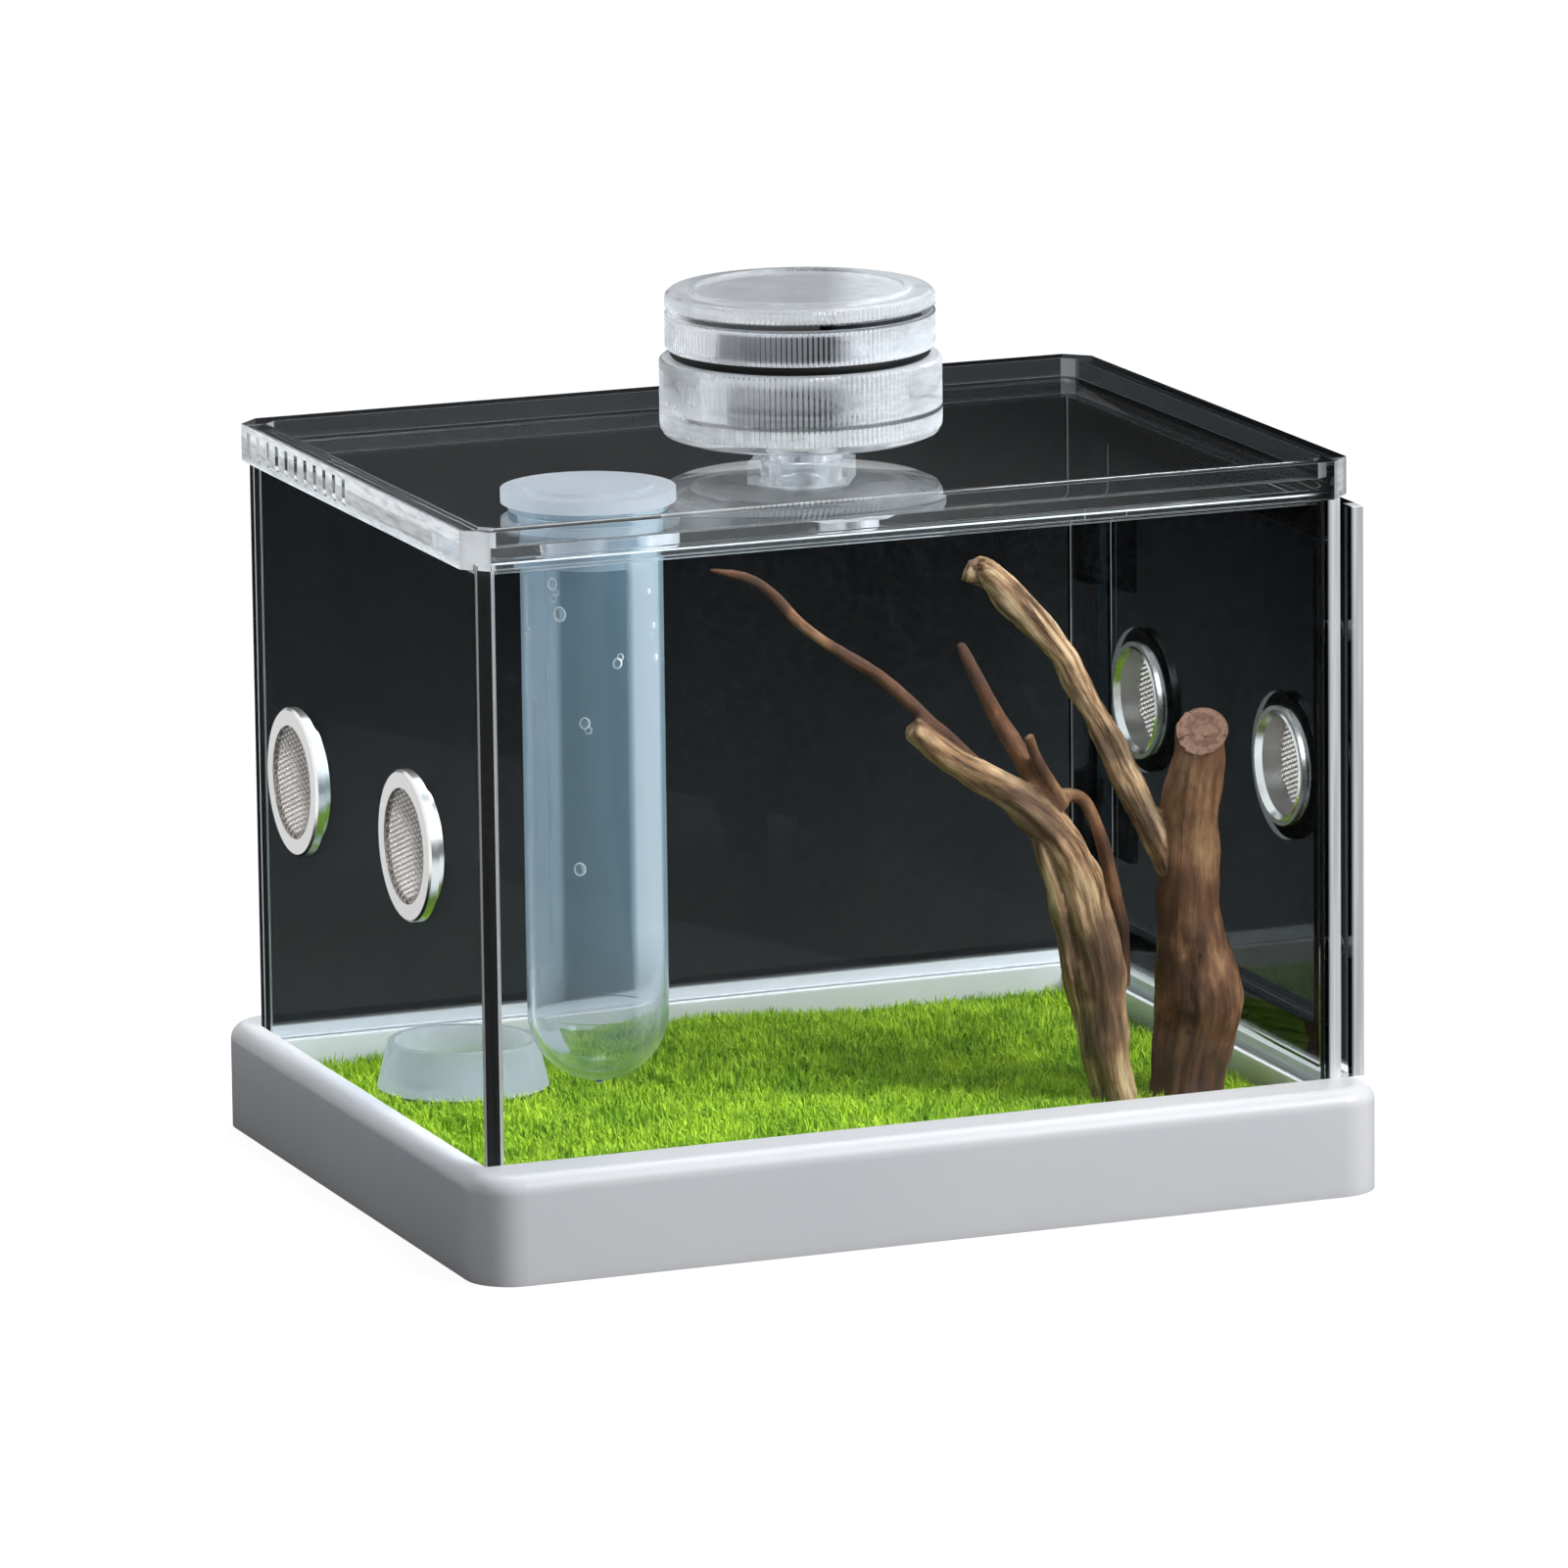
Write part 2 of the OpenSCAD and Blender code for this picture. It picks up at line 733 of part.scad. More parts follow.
module water_tube() {
    color([0.8, 0.87, 0.93, 0.45])
        translate([tube_x, tube_y, 0])
            difference() {
                union() {
                    translate([0, 0, tube_round_z])
                        cylinder(r = tube_r, h = tube_top - tube_round_z);
                    translate([0, 0, tube_round_z])
                        sphere(tube_r);
                    translate([0, 0, tube_lip_z])
                        cylinder(r = tube_lip_r, h = tube_lip_t);
                    translate([0, 0, tube_round_z - tube_r])
                        sphere(tube_nib_r, $fn = 32);
                }
                translate([0, 0, tube_round_z])
                    cylinder(r = tube_r - tube_wall, h = tube_top);
                translate([0, 0, tube_round_z])
                    sphere(tube_r - tube_wall);
            }
}

module tube_plug() {
    body_r = tube_r - tube_wall - fit_gap;
    color([0.93, 0.94, 0.95])
        translate([tube_x, tube_y, plug_z])
            difference() {
                union() {
                    cylinder(r = plug_flange_r, h = plug_flange_t);
                    cylinder(r = plug_disc_r, h = plug_flange_t + plug_disc_t);
                    translate([0, 0, -plug_l])
                        cylinder(r = body_r, h = plug_l + eps);
                }
                translate([0, 0, -plug_l - eps])
                    cylinder(r = body_r - plug_wall, h = plug_l);
            }
}

module feeding_dish() {
    color([0.9, 0.92, 0.94, 0.7])
        translate([dish_x, dish_y, turf_z])
            rotate_extrude()
                polygon([
                    [0, 0],
                    [dish_r, 0],
                    [dish_r - dish_taper, dish_h],
                    [dish_r - dish_taper - dish_wall, dish_h],
                    [dish_r - dish_wall, dish_floor_t],
                    [0, dish_floor_t]
                ]);
}

// Driftwood. A branch is one tube swept along its points, with flat ends.
function unit(v) = v / norm(v);
function spot(b, i) = [for (k = [0:2]) b[i][k] * wood_stretch[k]];
function heading(b, i) = unit(spot(b, min(i + 1, len(b) - 1)) - spot(b, max(i - 1, 0)));
function ring(b, i) =
    let (
        along = heading(b, i),
        across = unit(cross([0, 1, 0], along)),
        up = cross(along, across)
    )
    [
        for (k = [0:wood_sides - 1])
            spot(b, i) + b[i][3]
                * (cos(k * 360 / wood_sides) * across + sin(k * 360 / wood_sides) * up)
    ];

module branch(b) {
    n = wood_sides;
    last = (len(b) - 1) * n;
    ring_points = [for (i = [0:len(b) - 1]) for (p = ring(b, i)) p];
    sides = [
        for (i = [0:len(b) - 2])
            for (k = [0:n - 1])
                for (face = [
                    [i * n + k, (i + 1) * n + k, (i + 1) * n + (k + 1) % n],
                    [i * n + k, (i + 1) * n + (k + 1) % n, i * n + (k + 1) % n]
                ])
                    face
    ];
    foot = [[for (k = [0:n - 1]) k]];
    head = [[for (k = [n - 1:-1:0]) last + k]];
    translate([0, 0, turf_z])
        polyhedron(ring_points, concat(sides, foot, head));
}

// Keeps what lies above the turf, so that the wood stands flat on it
module above_turf() {
    intersection() {
        union()
            children();
        translate([0, 0, turf_z])
            slab(cabin_w, cabin_d, wall_h);
    }
}

module driftwood_left() {
    color([0.5, 0.34, 0.22])
        above_turf() {
            branch(left_trunk);
            branch(left_strand);
            branch(left_flank);
            branch(left_red);
            branch(left_stub);
            branch(left_twig);
        }
}

// The right trunk, with its top sawn off on a slope
module sawn_trunk() {
    at = spot(right_trunk, saw_cut);
    block = 6 * right_trunk[saw_cut][3];
    difference() {
        branch(right_trunk);
        translate([at[0], at[1], turf_z + at[2]])
            rotate([0, 0, saw_turn])
                rotate([saw_tilt, 0, 0])
                    slab(block, block, block);
    }
}

module driftwood_right() {
    color([0.55, 0.38, 0.26])
        above_turf() {
            sawn_trunk();
            branch(right_branch);
            branch(right_fork);
        }
}

base_tray();
end_wall(-1);  // front_wall
end_wall(1);  // back_wall
left_wall();
right_frame();
turf_mat();
side_door();
frame_leaf(hinge_high);  // frame_leaf_upper
frame_leaf(hinge_low);  // frame_leaf_lower
door_leaf(hinge_high);  // door_leaf_upper
door_leaf(hinge_low);  // door_leaf_lower
hinge_pin(hinge_high);  // hinge_pin_upper
hinge_pin(hinge_low);  // hinge_pin_lower
frame_magnets();
door_magnets();
vent_housing(false, 1);  // vent_housing_left_rear
vent_housing(false, -1);  // vent_housing_left_front
vent_housing(true, 1);  // vent_housing_door_rear
vent_housing(true, -1);  // vent_housing_door_front
vent_mesh(false, 1);  // vent_mesh_left_rear
vent_mesh(false, -1);  // vent_mesh_left_front
vent_mesh(true, 1);  // vent_mesh_door_rear
vent_mesh(true, -1);  // vent_mesh_door_front
vent_ring(false, 1);  // vent_ring_left_rear
vent_ring(false, -1);  // vent_ring_left_front
vent_ring(true, 1);  // vent_ring_door_rear
vent_ring(true, -1);  // vent_ring_door_front
lid();
feeder_cup();
feeder_nut();
feeder_seal();
feeder_cap();
water_tube();
tube_plug();
driftwood_left();
driftwood_right();
feeding_dish();
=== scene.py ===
# %% [markdown]
# # A clear keeper box for a small pet
# The box is a milky tray with four clear walls, a lid with a feeder and a water tube, a door on
# the right and four mesh vents. This lesson dresses the packed construction: every part keeps
# the place that the construction gives it, and each surface gets the finish of the real one.
# Lengths in this file are millimetres, and the helper that makes a mesh turns them into metres.

# %% Frame
import math

import bmesh
import bpy
import numpy as np
from mathutils import Matrix, Vector, noise


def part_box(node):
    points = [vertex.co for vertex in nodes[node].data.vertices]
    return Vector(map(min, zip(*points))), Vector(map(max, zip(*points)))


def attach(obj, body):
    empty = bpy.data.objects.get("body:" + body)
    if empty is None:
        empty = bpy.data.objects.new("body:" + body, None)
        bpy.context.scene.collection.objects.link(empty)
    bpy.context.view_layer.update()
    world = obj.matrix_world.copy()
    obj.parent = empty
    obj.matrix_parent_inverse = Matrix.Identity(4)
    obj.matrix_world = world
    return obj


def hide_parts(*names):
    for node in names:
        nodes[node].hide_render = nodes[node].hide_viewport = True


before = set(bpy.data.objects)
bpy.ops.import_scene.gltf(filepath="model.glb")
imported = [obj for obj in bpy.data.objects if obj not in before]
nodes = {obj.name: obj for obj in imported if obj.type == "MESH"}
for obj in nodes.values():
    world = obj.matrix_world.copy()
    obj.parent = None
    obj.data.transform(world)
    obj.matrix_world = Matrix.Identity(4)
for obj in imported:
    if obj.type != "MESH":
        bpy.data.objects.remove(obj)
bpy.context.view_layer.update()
MM = 0.001


def span(node):
    """Lowest and highest corner of a node, in millimetres."""
    low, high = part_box(node)
    return low / MM, high / MM


# %% [markdown]
# ## Camera
# The photograph was taken from far off with a long lens, from the front left and a little above.
# A camera that was fitted to the box's edges gives the angles below. Its three axes are worked
# out first, because the place of the camera is easiest to say along them: a long way back from
# the origin, and a little up.

# %% Camera
AZIMUTH = math.radians(-21.47)
ELEVATION = math.radians(11.94)
ROLL = math.radians(-0.68)
DISTANCE = 2036
AIM_RIGHT = -2.1
AIM_UP = 64.3
SENSOR = 36
FOCAL_IN_PICTURES = 11984 / 1601

back = Vector((
    math.sin(AZIMUTH) * math.cos(ELEVATION),
    -math.cos(AZIMUTH) * math.cos(ELEVATION),
    math.sin(ELEVATION),
))
level = Vector((math.cos(AZIMUTH), math.sin(AZIMUTH), 0))
steep = back.cross(level)
right = math.cos(ROLL) * level + math.sin(ROLL) * steep
up = math.cos(ROLL) * steep - math.sin(ROLL) * level
lens = bpy.data.cameras.new("camera")
lens.sensor_width = SENSOR
lens.sensor_fit = "HORIZONTAL"
lens.lens = FOCAL_IN_PICTURES * SENSOR
lens.clip_start = 0.1
lens.clip_end = 30
camera = bpy.data.objects.new("camera", lens)
place = (DISTANCE * back + AIM_RIGHT * right + AIM_UP * up) * MM
camera.matrix_world = Matrix.Translation(place) @ Matrix((right, up, back)).transposed().to_4x4()
bpy.context.scene.collection.objects.link(camera)
bpy.context.scene.camera = camera
print("camera at", [round(c, 3) for c in place], "lens", round(lens.lens, 1), "mm")

# %% [markdown]
# ## Shader sums
# A finish is mostly arithmetic: a noise times a strength, one minus a mask. The class below
# holds one output of a shader node. Adding or multiplying two of them adds a Math node, so that
# a finish can be written as a line of sums. Every other node comes from `make`.

# %% Shader sums


class Shade:
    """One output of a shader node, which can be used in sums."""

    def __init__(self, tree, socket=None):
        self.tree = tree
        self.socket = socket

    def make(self, kind, settings=None, sockets=None, out=0):
        """A new node of a kind, its settings first and then its sockets' values or links."""
        node = self.tree.nodes.new("ShaderNode" + kind)
        for name, value in (settings or {}).items():
            if name == "stops":
                self.set_stops(node.color_ramp, value)
            else:
                setattr(node, name, value)
        for name, value in (sockets or {}).items():
            if isinstance(value, Shade):
                self.tree.links.new(value.socket, node.inputs[name])
            else:
                node.inputs[name].default_value = value
        return Shade(self.tree, None if out is None else node.outputs[out])

    @staticmethod
    def set_stops(ramp, stops):
        while len(ramp.elements) < len(stops):
            ramp.elements.new(0.5)
        for element, (position, colour) in zip(ramp.elements, stops):
            element.position = position
            element.color = (*colour, 1)

    def math(self, operation, *others):
        return self.make("Math", {"operation": operation}, dict(enumerate((self, *others))))

    def vector(self, operation, *others, out=0):
        sockets = dict(enumerate((self, *others)))
        return self.make("VectorMath", {"operation": operation}, sockets, out)

    def __add__(self, other):
        return self.math("ADD", other)

    def __sub__(self, other):
        return self.math("SUBTRACT", other)

    def __rsub__(self, other):
        return self.make("Math", {"operation": "SUBTRACT"}, {0: other, 1: self})

    def __mul__(self, other):
        return self.math("MULTIPLY", other)

    def __gt__(self, other):
        return self.math("GREATER_THAN", other)

    def __lt__(self, other):
        return self.math("LESS_THAN", other)

    __radd__ = __add__
    __rmul__ = __mul__

    def part(self, axis):
        """The x, y or z of a vector."""
        return self.make("SeparateXYZ", sockets={0: self}, out=axis.upper())

    def ramp(self, *stops):
        return self.make("ValToRGB", {"stops": stops}, {"Fac": self})

    def levels(self, *stops):
        """A ramp of greys, each stop a position and a level."""
        return self.ramp(*((position, (level,) * 3) for position, level in stops))

    def grey(self, low, high):
        """The value stretched so that low becomes 0 and high becomes 1, and kept between them."""
        sockets = {"Value": self, "From Min": low, "From Max": high}
        return self.make("MapRange", {"clamp": True}, sockets)

    def blend(self, first, second):
        """Colour first where this is 0 and second where it is 1."""
        settings = {"data_type": "RGBA"}
        return self.make("Mix", settings, {0: self, 6: first, 7: second}, out=2)

    def over(self, first, second):
        """Shader first where this is 0 and second where it is 1."""
        return self.make("MixShader", sockets={0: self, 1: first, 2: second})


def new_finish(name):
    """An empty material and the start of its node tree."""
    finish = bpy.data.materials.new(name)
    finish.use_nodes = True
    finish.node_tree.nodes.clear()
    return finish, Shade(finish.node_tree)


def show(shader):
    """Sends a shader to the surface of its material."""
    shader.make("OutputMaterial", sockets={"Surface": shader}, out=None)


print("operators of a shade:", [name for name in vars(Shade) if name.startswith("__")])

# %% [markdown]
# ## Noise and light
# Nearly every finish asks where it is on the piece, adds a soft noise to its colour and roughness,
# and turns the same noise into tiny hills and valleys. The object coordinates are used for the
# place, because they need no unwrapping and keep to real millimetres. Clear pieces also let the
# lamps through, or they would shade what they hold as wood does.

# %% Noise and light
WHITE = (1, 1, 1, 1)


def spot(root, scale=1.0, stretch=(1, 1, 1)):
    """The point on the piece in millimetres, times a scale, and stretched along the axes."""
    factors = tuple(scale * s / MM for s in stretch)
    return root.make("TexCoord", out="Object").vector("MULTIPLY", factors)


def cloud(root, where, scale, detail=3.0, rough=0.5):
    """A soft noise between 0 and 1 with so many changes a millimetre."""
    sockets = {"Vector": where, "Scale": scale, "Detail": detail, "Roughness": rough}
    return root.make("TexNoise", sockets=sockets)


def bump(height, distance, strength=1.0):
    """A surface normal from a height between 0 and 1, with its depth in millimetres."""
    sockets = {"Height": height, "Distance": distance * MM, "Strength": strength}
    return height.make("Bump", sockets=sockets)


def lamps_pass(shader, tint=WHITE):
    """Lets the lamps shine through a clear piece."""
    shadow = shader.make("LightPath", out="Is Shadow Ray")
    return shadow.over(shader, shader.make("BsdfTransparent", sockets={"Color": tint}))


print("noise and light: 1 unit of a noise's scale is one change a millimetre")

# %% [markdown]
# ## Which face is it?
# A sheet's broad faces, its sawn edges and its scraped bevels need different finishes, and a
# lid's left side another than its back. One material can do all of them when it asks two
# things: which way the surface looks, and where on the piece it is. That saves cutting the mesh
# into zones, and it goes on working when the piece changes its size.

# %% Which face is it


def facing(root, axis):
    """1 where the surface looks along an axis, 0 where it looks across it."""
    return root.make("TexCoord", out="Normal").part(axis).math("ABSOLUTE")


def place_along(root, axis):
    """The place on the piece along an axis, in millimetres."""
    return spot(root).part(axis)


def eased_edge(root):
    """1 on the narrow faces of an eased edge, which look along no axis."""
    most = facing(root, "x").math("MAXIMUM", facing(root, "y"))
    return 1 - most.math("MAXIMUM", facing(root, "z")).grey(0.93, 0.98)


def only_from(root, strength, places):
    """A strength that grows from nothing to its full value between two places along an axis."""
    for along, starts, full in places:
        strength = strength * place_along(root, along).grey(starts, full)
    return strength


def vent_windows(root, sides):
    """1 where a vent's flange lies behind the sheet, and shows through it."""
    seen = 0
    for side in sides:
        low, high = span(f"vent_housing_door_{side}")
        radius = (high.y - low.y) / 2
        flat = spot(root).vector("SUBTRACT", tuple((low + high) / 2)).vector("MULTIPLY", (0, 1, 1))
        seen = seen + (1 - flat.vector("LENGTH", out=1).grey(radius - 0.1, radius))
    return seen


print("the door's vents show through it at", span("vent_housing_door_rear")[0][:])

# %% [markdown]
# ## Clear sheet
# The walls are cast acrylic sheet. Its broad faces are polished, its sawn edges are more or less
# frosted, and every edge is eased by a scraper, which leaves a thin bright line. The sheets at
# the back and at the door are smoked dark, a little darker high up than low down, and they are
# clear just above the tray's rim. A very thin film of dust keeps the sheets from looking like a
# drawing, because perfectly clean plastic does.
#
# A sheet mirrors the room, and a pale floor would lay a grey veil over it. So a share of each
# sheet is a plain refraction, which bends the light and mirrors nothing. The share is largest
# where the real sheet mirrors a dark room.

# %% Clear sheet
CLEAR = (0.95, 0.975, 0.985, 1)
DARK_EDGE = (0.03, 0.045, 0.055, 1)
FROST = (0.92, 0.95, 0.98, 1)
DULL_FROST = (0.6624, 0.684, 0.7056, 1)
ACRYLIC_IOR = 1.49
SHEET_SHINE = (0.22, 0.23, 0.25, 1)
DUST = 0.008


def clear_shader(root, tint, rough=0.0, shine=SHEET_SHINE, ior=ACRYLIC_IOR, **more):
    """Clear plastic, with its reflection toned down as that of a thin dusty sheet."""
    sockets = {"Base Color": tint, "Roughness": rough, "IOR": ior, "Specular Tint": shine}
    return root.make("BsdfPrincipled", sockets={**sockets, "Transmission Weight": 1.0, **more})


def still_shader(root, tint):
    """Clear plastic that mirrors nothing."""
    sockets = {"Color": tint, "Roughness": 0.0, "IOR": ACRYLIC_IOR}
    return root.make("BsdfRefraction", sockets=sockets)


def sheet_glass(root, edge, tints, smoke_from, vents, still):
    """The clear body of a sheet: bare up to a height, and its tints low down and high up."""
    smoked = place_along(root, "z").grey(smoke_from, smoke_from + 0.4)
    smoked = smoked * (1 - vent_windows(root, vents))
    drift = (cloud(root, spot(root), 0.018, 3.0) - 0.5) * 0.7
    high_up = (place_along(root, "z").grey(22, 112) + drift).grey(0, 1)
    body = edge.blend(smoked.blend(CLEAR, high_up.blend(*tints)), DARK_EDGE)
    tinted = high_up.over(still_shader(root, tints[0]), still_shader(root, tints[1]))
    quiet = smoked.over(still_shader(root, CLEAR), tinted)
    quiet = edge.over(quiet, still_shader(root, DARK_EDGE))
    return root.make("MixShader", sockets={0: still, 1: clear_shader(root, body), 2: quiet})


def saw_cut(root):
    """The frosted face that a saw leaves, with its upright streaks."""
    streaks = cloud(root, spot(root, stretch=(1, 1, 0.02)), 1.3, 3.0)
    return root.make("BsdfPrincipled", sockets={
        "Base Color": streaks.grey(0.35, 0.65).blend(DULL_FROST, FROST),
        "Roughness": 0.4,
        "Normal": bump(streaks, 0.05),
    })


print("clear sheet: index", ACRYLIC_IOR, "dust", DUST)

# %% [markdown]
# ## Five sheets
# The same sheet comes in five finishes. What differs is the axis that its broad faces look
# along, its tints, how strongly its sawn edges and its bevels show, from where on they show, and
# how much of it mirrors nothing. The edges of the frame and the door are frosted only on the
# outside and at the front, where a saw has passed last.

# %% Five sheets
BARE = (CLEAR, CLEAR)
SMOKED = ((0.052, 0.058, 0.060, 1), (0.005, 0.006, 0.0075, 1))
FRONT_END = ("y", -55, -56.5)
FRAME_OUTSIDE = ("x", 75.6, 76.2)
DOOR_OUTSIDE = ("x", 79.0, 79.6)


def sheet_finish(
    name, axis, tints, frost, line, frost_from=(), line_from=(), smoke_from=20.6, vents=(),
    still=0.45
):
    """Acrylic sheet whose broad faces look along an axis, with its tint low down and high up."""
    finish, root = new_finish(name)
    edge = 1 - facing(root, axis).grey(0.1, 0.3)
    glass = sheet_glass(root, edge, tints, smoke_from, vents, still)
    specks = cloud(root, spot(root), 0.6, 6.0, 0.75).grey(0.45, 0.8)
    dusty = (specks * DUST).over(glass, root.make("BsdfDiffuse", sockets={"Color": FROST}))
    sawn = only_from(root, edge * frost, frost_from).over(dusty, saw_cut(root))
    white_line = root.make("BsdfPrincipled", sockets={"Base Color": FROST, "Roughness": 0.3})
    show(lamps_pass(only_from(root, eased_edge(root) * line, line_from).over(sawn, white_line)))
    return finish


sheet_front = sheet_finish("sheet_front", "y", BARE, 0.1, 0.7, line_from=(("x", 74, 72),))
sheet_left = sheet_finish("sheet_left", "x", BARE, 0.03, 0.6, still=0.98)
smoked_back = sheet_finish("smoked_back", "y", SMOKED, 0.1, 0.45, smoke_from=18.6)
smoked_frame = sheet_finish(
    "smoked_frame", "x", SMOKED, 1.0, 0.6,
    frost_from=(FRONT_END, FRAME_OUTSIDE), line_from=(FRAME_OUTSIDE,)
)
smoked_door = sheet_finish(
    "smoked_door", "x", SMOKED, 0.85, 0.7,
    frost_from=(FRONT_END, DOOR_OUTSIDE), line_from=(DOOR_OUTSIDE,), vents=("rear", "front")
)
sheets = (sheet_front, sheet_left, smoked_back, smoked_frame, smoked_door)
print("sheets:", [sheet.name for sheet in sheets])

# %% [markdown]
# ## Moulded lid
# The lid is moulded in one piece. Its panel is clear with a thin haze of fine scratches, its left
# side and its two front corners are frosted in level bands, and its eased edges are white. Its
# border at the back and on the right stands before nothing but the dark surroundings, so the
# plastic is smoked there. Milky plastic is mixed in where the lid is frosted: half of the milk is
# lit from the front and half from behind, as in a real thin wall.

# %% Moulded lid
LID_CLEAR = (0.90, 0.94, 0.96, 1)
LID_SMOKED = (0.025, 0.03, 0.034, 1)
LID_HAZE = 0.008
LID_DUST = 0.018
LID_SCRATCHES = 0.05
LID_BANDS = (
    (0, 0.65), (0.2, 0.45), (0.26, 0.95), (0.36, 0.35), (0.72, 0.45), (0.8, 0.95), (1, 0.9)
)


def both_ways(root, lit, colour, share=0.5):
    """A shader mixed with a share of light that comes through from behind."""
    through = root.make("BsdfTranslucent", sockets={"Color": colour})
    return root.make("MixShader", sockets={0: share, 1: lit, 2: through})


def lid_haze(root):
    """The thin haze of the panel: dust on the left, and scratches all over."""
    scratches = cloud(root, spot(root, stretch=(0.05, 1, 1)), 1.2, 4.0, 0.7).grey(0.62, 0.8)
    dust = (1 - place_along(root, "x").grey(-20, 60)) * LID_DUST
    return LID_HAZE + dust + scratches * LID_SCRATCHES


def lid_finish(name):
    finish, root = new_finish(name)
    far = place_along(root, "y").grey(50, 54).math("MAXIMUM", place_along(root, "x").grey(70, 75))
    glass = clear_shader(root, far.blend(LID_CLEAR, LID_SMOKED))
    lit = root.make("BsdfPrincipled", sockets={"Base Color": FROST, "Roughness": 0.35})
    flow = cloud(root, spot(root, stretch=(0.3, 0.3, 2)), 0.5, 4.0).grey(0.35, 0.65)
    left_side = facing(root, "x").grey(0.8, 0.95) * (1 - place_along(root, "x").grey(-79, -78))
    band = place_along(root, "z").grey(117, 126).levels(*LID_BANDS)
    at_corner = place_along(root, "x").math("ABSOLUTE").grey(76, 78.5)
    corner = at_corner * (1 - place_along(root, "y").grey(-57, -55))
    frosted = left_side * band * (0.6 + flow * 0.6) + corner * (0.3 + flow * 0.5)
    frosted = frosted + lid_haze(root) + eased_edge(root) * (0.8 - far * 0.3)
    show(lamps_pass(frosted.grey(0, 1).over(glass, both_ways(root, lit, FROST))))
    return finish


lid_plastic = lid_finish("lid_plastic")
print("lid finish:", len(lid_plastic.node_tree.nodes), "nodes")

# %% [markdown]
# ## Cloudy plastic
# The nut and the hinges are small mouldings of a cloudier plastic: where a wall is seen edge-on,
# more of it lies in the way and it looks white. A Layer Weight node tells how far the surface is
# turned away, and more milk is mixed in there.

# %% Cloudy plastic


def cloudy_finish(name, tint, veil, rim):
    finish, root = new_finish(name)
    turned = root.make("LayerWeight", sockets={"Blend": 0.4}, out="Facing")
    flow = cloud(root, spot(root, stretch=(0.2, 0.2, 1.5)), 0.6, 4.0).grey(0.35, 0.65)
    glass = clear_shader(root, tint, 0.03, WHITE)
    lit = root.make("BsdfDiffuse", sockets={"Color": FROST})
    amount = (0.5 * veil + flow * veil + turned * turned * rim).grey(0, 1)
    show(lamps_pass(amount.over(glass, both_ways(root, lit, FROST))))
    return finish


nut_plastic = cloudy_finish("nut_plastic", (0.60, 0.63, 0.67, 1), 0.10, 0.6)
hinge_plastic = cloudy_finish("hinge_plastic", (0.80, 0.84, 0.87, 1), 0.1, 0.3)
print("cloudy finishes:", nut_plastic.name, hinge_plastic.name)

# %% [markdown]
# ## Knurled plastic
# The feeder's cup and cap are thick, clear and knurled. A thick round wall works as a lens: its
# middle shows the dark inside, its two ends gather light and look white, and every ridge has a
# bright flank. That pattern is painted into the material, from how far a point lies to the side of
# the feeder's axis, as a share of its radius. The painted shade is a dark tint in the middle. The
# painted light is milk mixed in at the ends, more on the right side, on the top faces and on the
# ridges' flanks, and less on the undersides. Levels up the wall, as shares of its height, say where
# the painted shade is stronger, where more milk and painted light go, and where a painted dark line
# runs.

# %% Knurled plastic
KNURL_CLEAR = (0.90, 0.92, 0.95, 1)
KNURL_DARK = (0.015, 0.018, 0.024, 1)
KNURL_LIT = (0.90, 0.93, 0.96, 1)
# Painted shade: how dark the middle of a knurled wall is, across its width
CENTRE_DARK = ((0.05, 0), (0.18, 0.8), (0.28, 1), (0.60, 1), (0.72, 0))


def knurl_finish(name, node, bottom, top, gloom, milk_and_light_levels, line):
    """Clear plastic of a knurled piece: painted shade in the middle, painted light at its ends and
    ridges.
    """
    finish, root = new_finish(name)
    low, high = span(node)
    half = (high.x - low.x) / 2
    offset = ((low + high) / 2).dot(level) / half
    across = spot(root).vector("DOT_PRODUCT", tuple(level / half), out=1) - offset
    normal = root.make("TexCoord", out="Normal")
    upward = normal.part("z").grey(0.7, 0.9)
    downward = normal.part("z").grey(-0.7, -0.9)
    turned = normal.vector("DOT_PRODUCT", tuple(level), out=1)
    # Painted highlight on the ridges' flanks that turn to the right, and painted shade between them
    ridge = (turned - across).grey(0.1, 0.45) * (1 - upward) * (1 - downward)
    place = across * 0.5 + 0.5
    layer = place_along(root, "z").grey(bottom, top)
    # Painted shade along the cap's groove and the cup's dark line
    groove = layer.grey(line[0] - 0.02, line[0]) * layer.grey(line[1] + 0.02, line[1])
    groove = groove * place.grey(0.02, 0.12)
    # Painted shade: dark in the middle and at the listed levels up the wall, lighter on the ridges
    gloomy = place.levels(*CENTRE_DARK) * layer.levels(*gloom) * (1 - ridge * 0.5)
    shade = (gloomy.math("MAXIMUM", groove * 0.85) + (1 - ridge) * 0.12).grey(0, 1)
    streaks = cloud(root, spot(root, stretch=(0.3, 0.3, 1.5)), 0.5, 4.0).grey(0.35, 0.65)
    # Painted light: more milk towards the right side, and at the listed levels up the wall
    sunny = place.grey(0.60, 0.80)
    milk_plus_light = sunny * 0.6 + 0.04 + layer.levels(*milk_and_light_levels) * (0.55 + sunny * 0.45)
    cover = milk_plus_light * (1 - shade) * (0.6 + streaks * 0.6) + ridge * (1 - groove) * 0.22
    # Painted light on the top faces, and less milk on the undersides
    cover = (cover * (1 - downward * 0.8) + upward * 0.35).grey(0, 1)
    # The painted shade darkens the clear plastic's tint
    glass = clear_shader(root, shade.blend(KNURL_CLEAR, KNURL_DARK), 0.02, WHITE)
    lit = root.make("BsdfPrincipled", sockets={"Base Color": KNURL_LIT, "Roughness": 0.2})
    show(lamps_pass(cover.over(glass, both_ways(root, lit, FROST, 0.35))))
    return finish


print("knurled plastic: the middle is darkest between", CENTRE_DARK[2][0], "and", CENTRE_DARK[3][0])
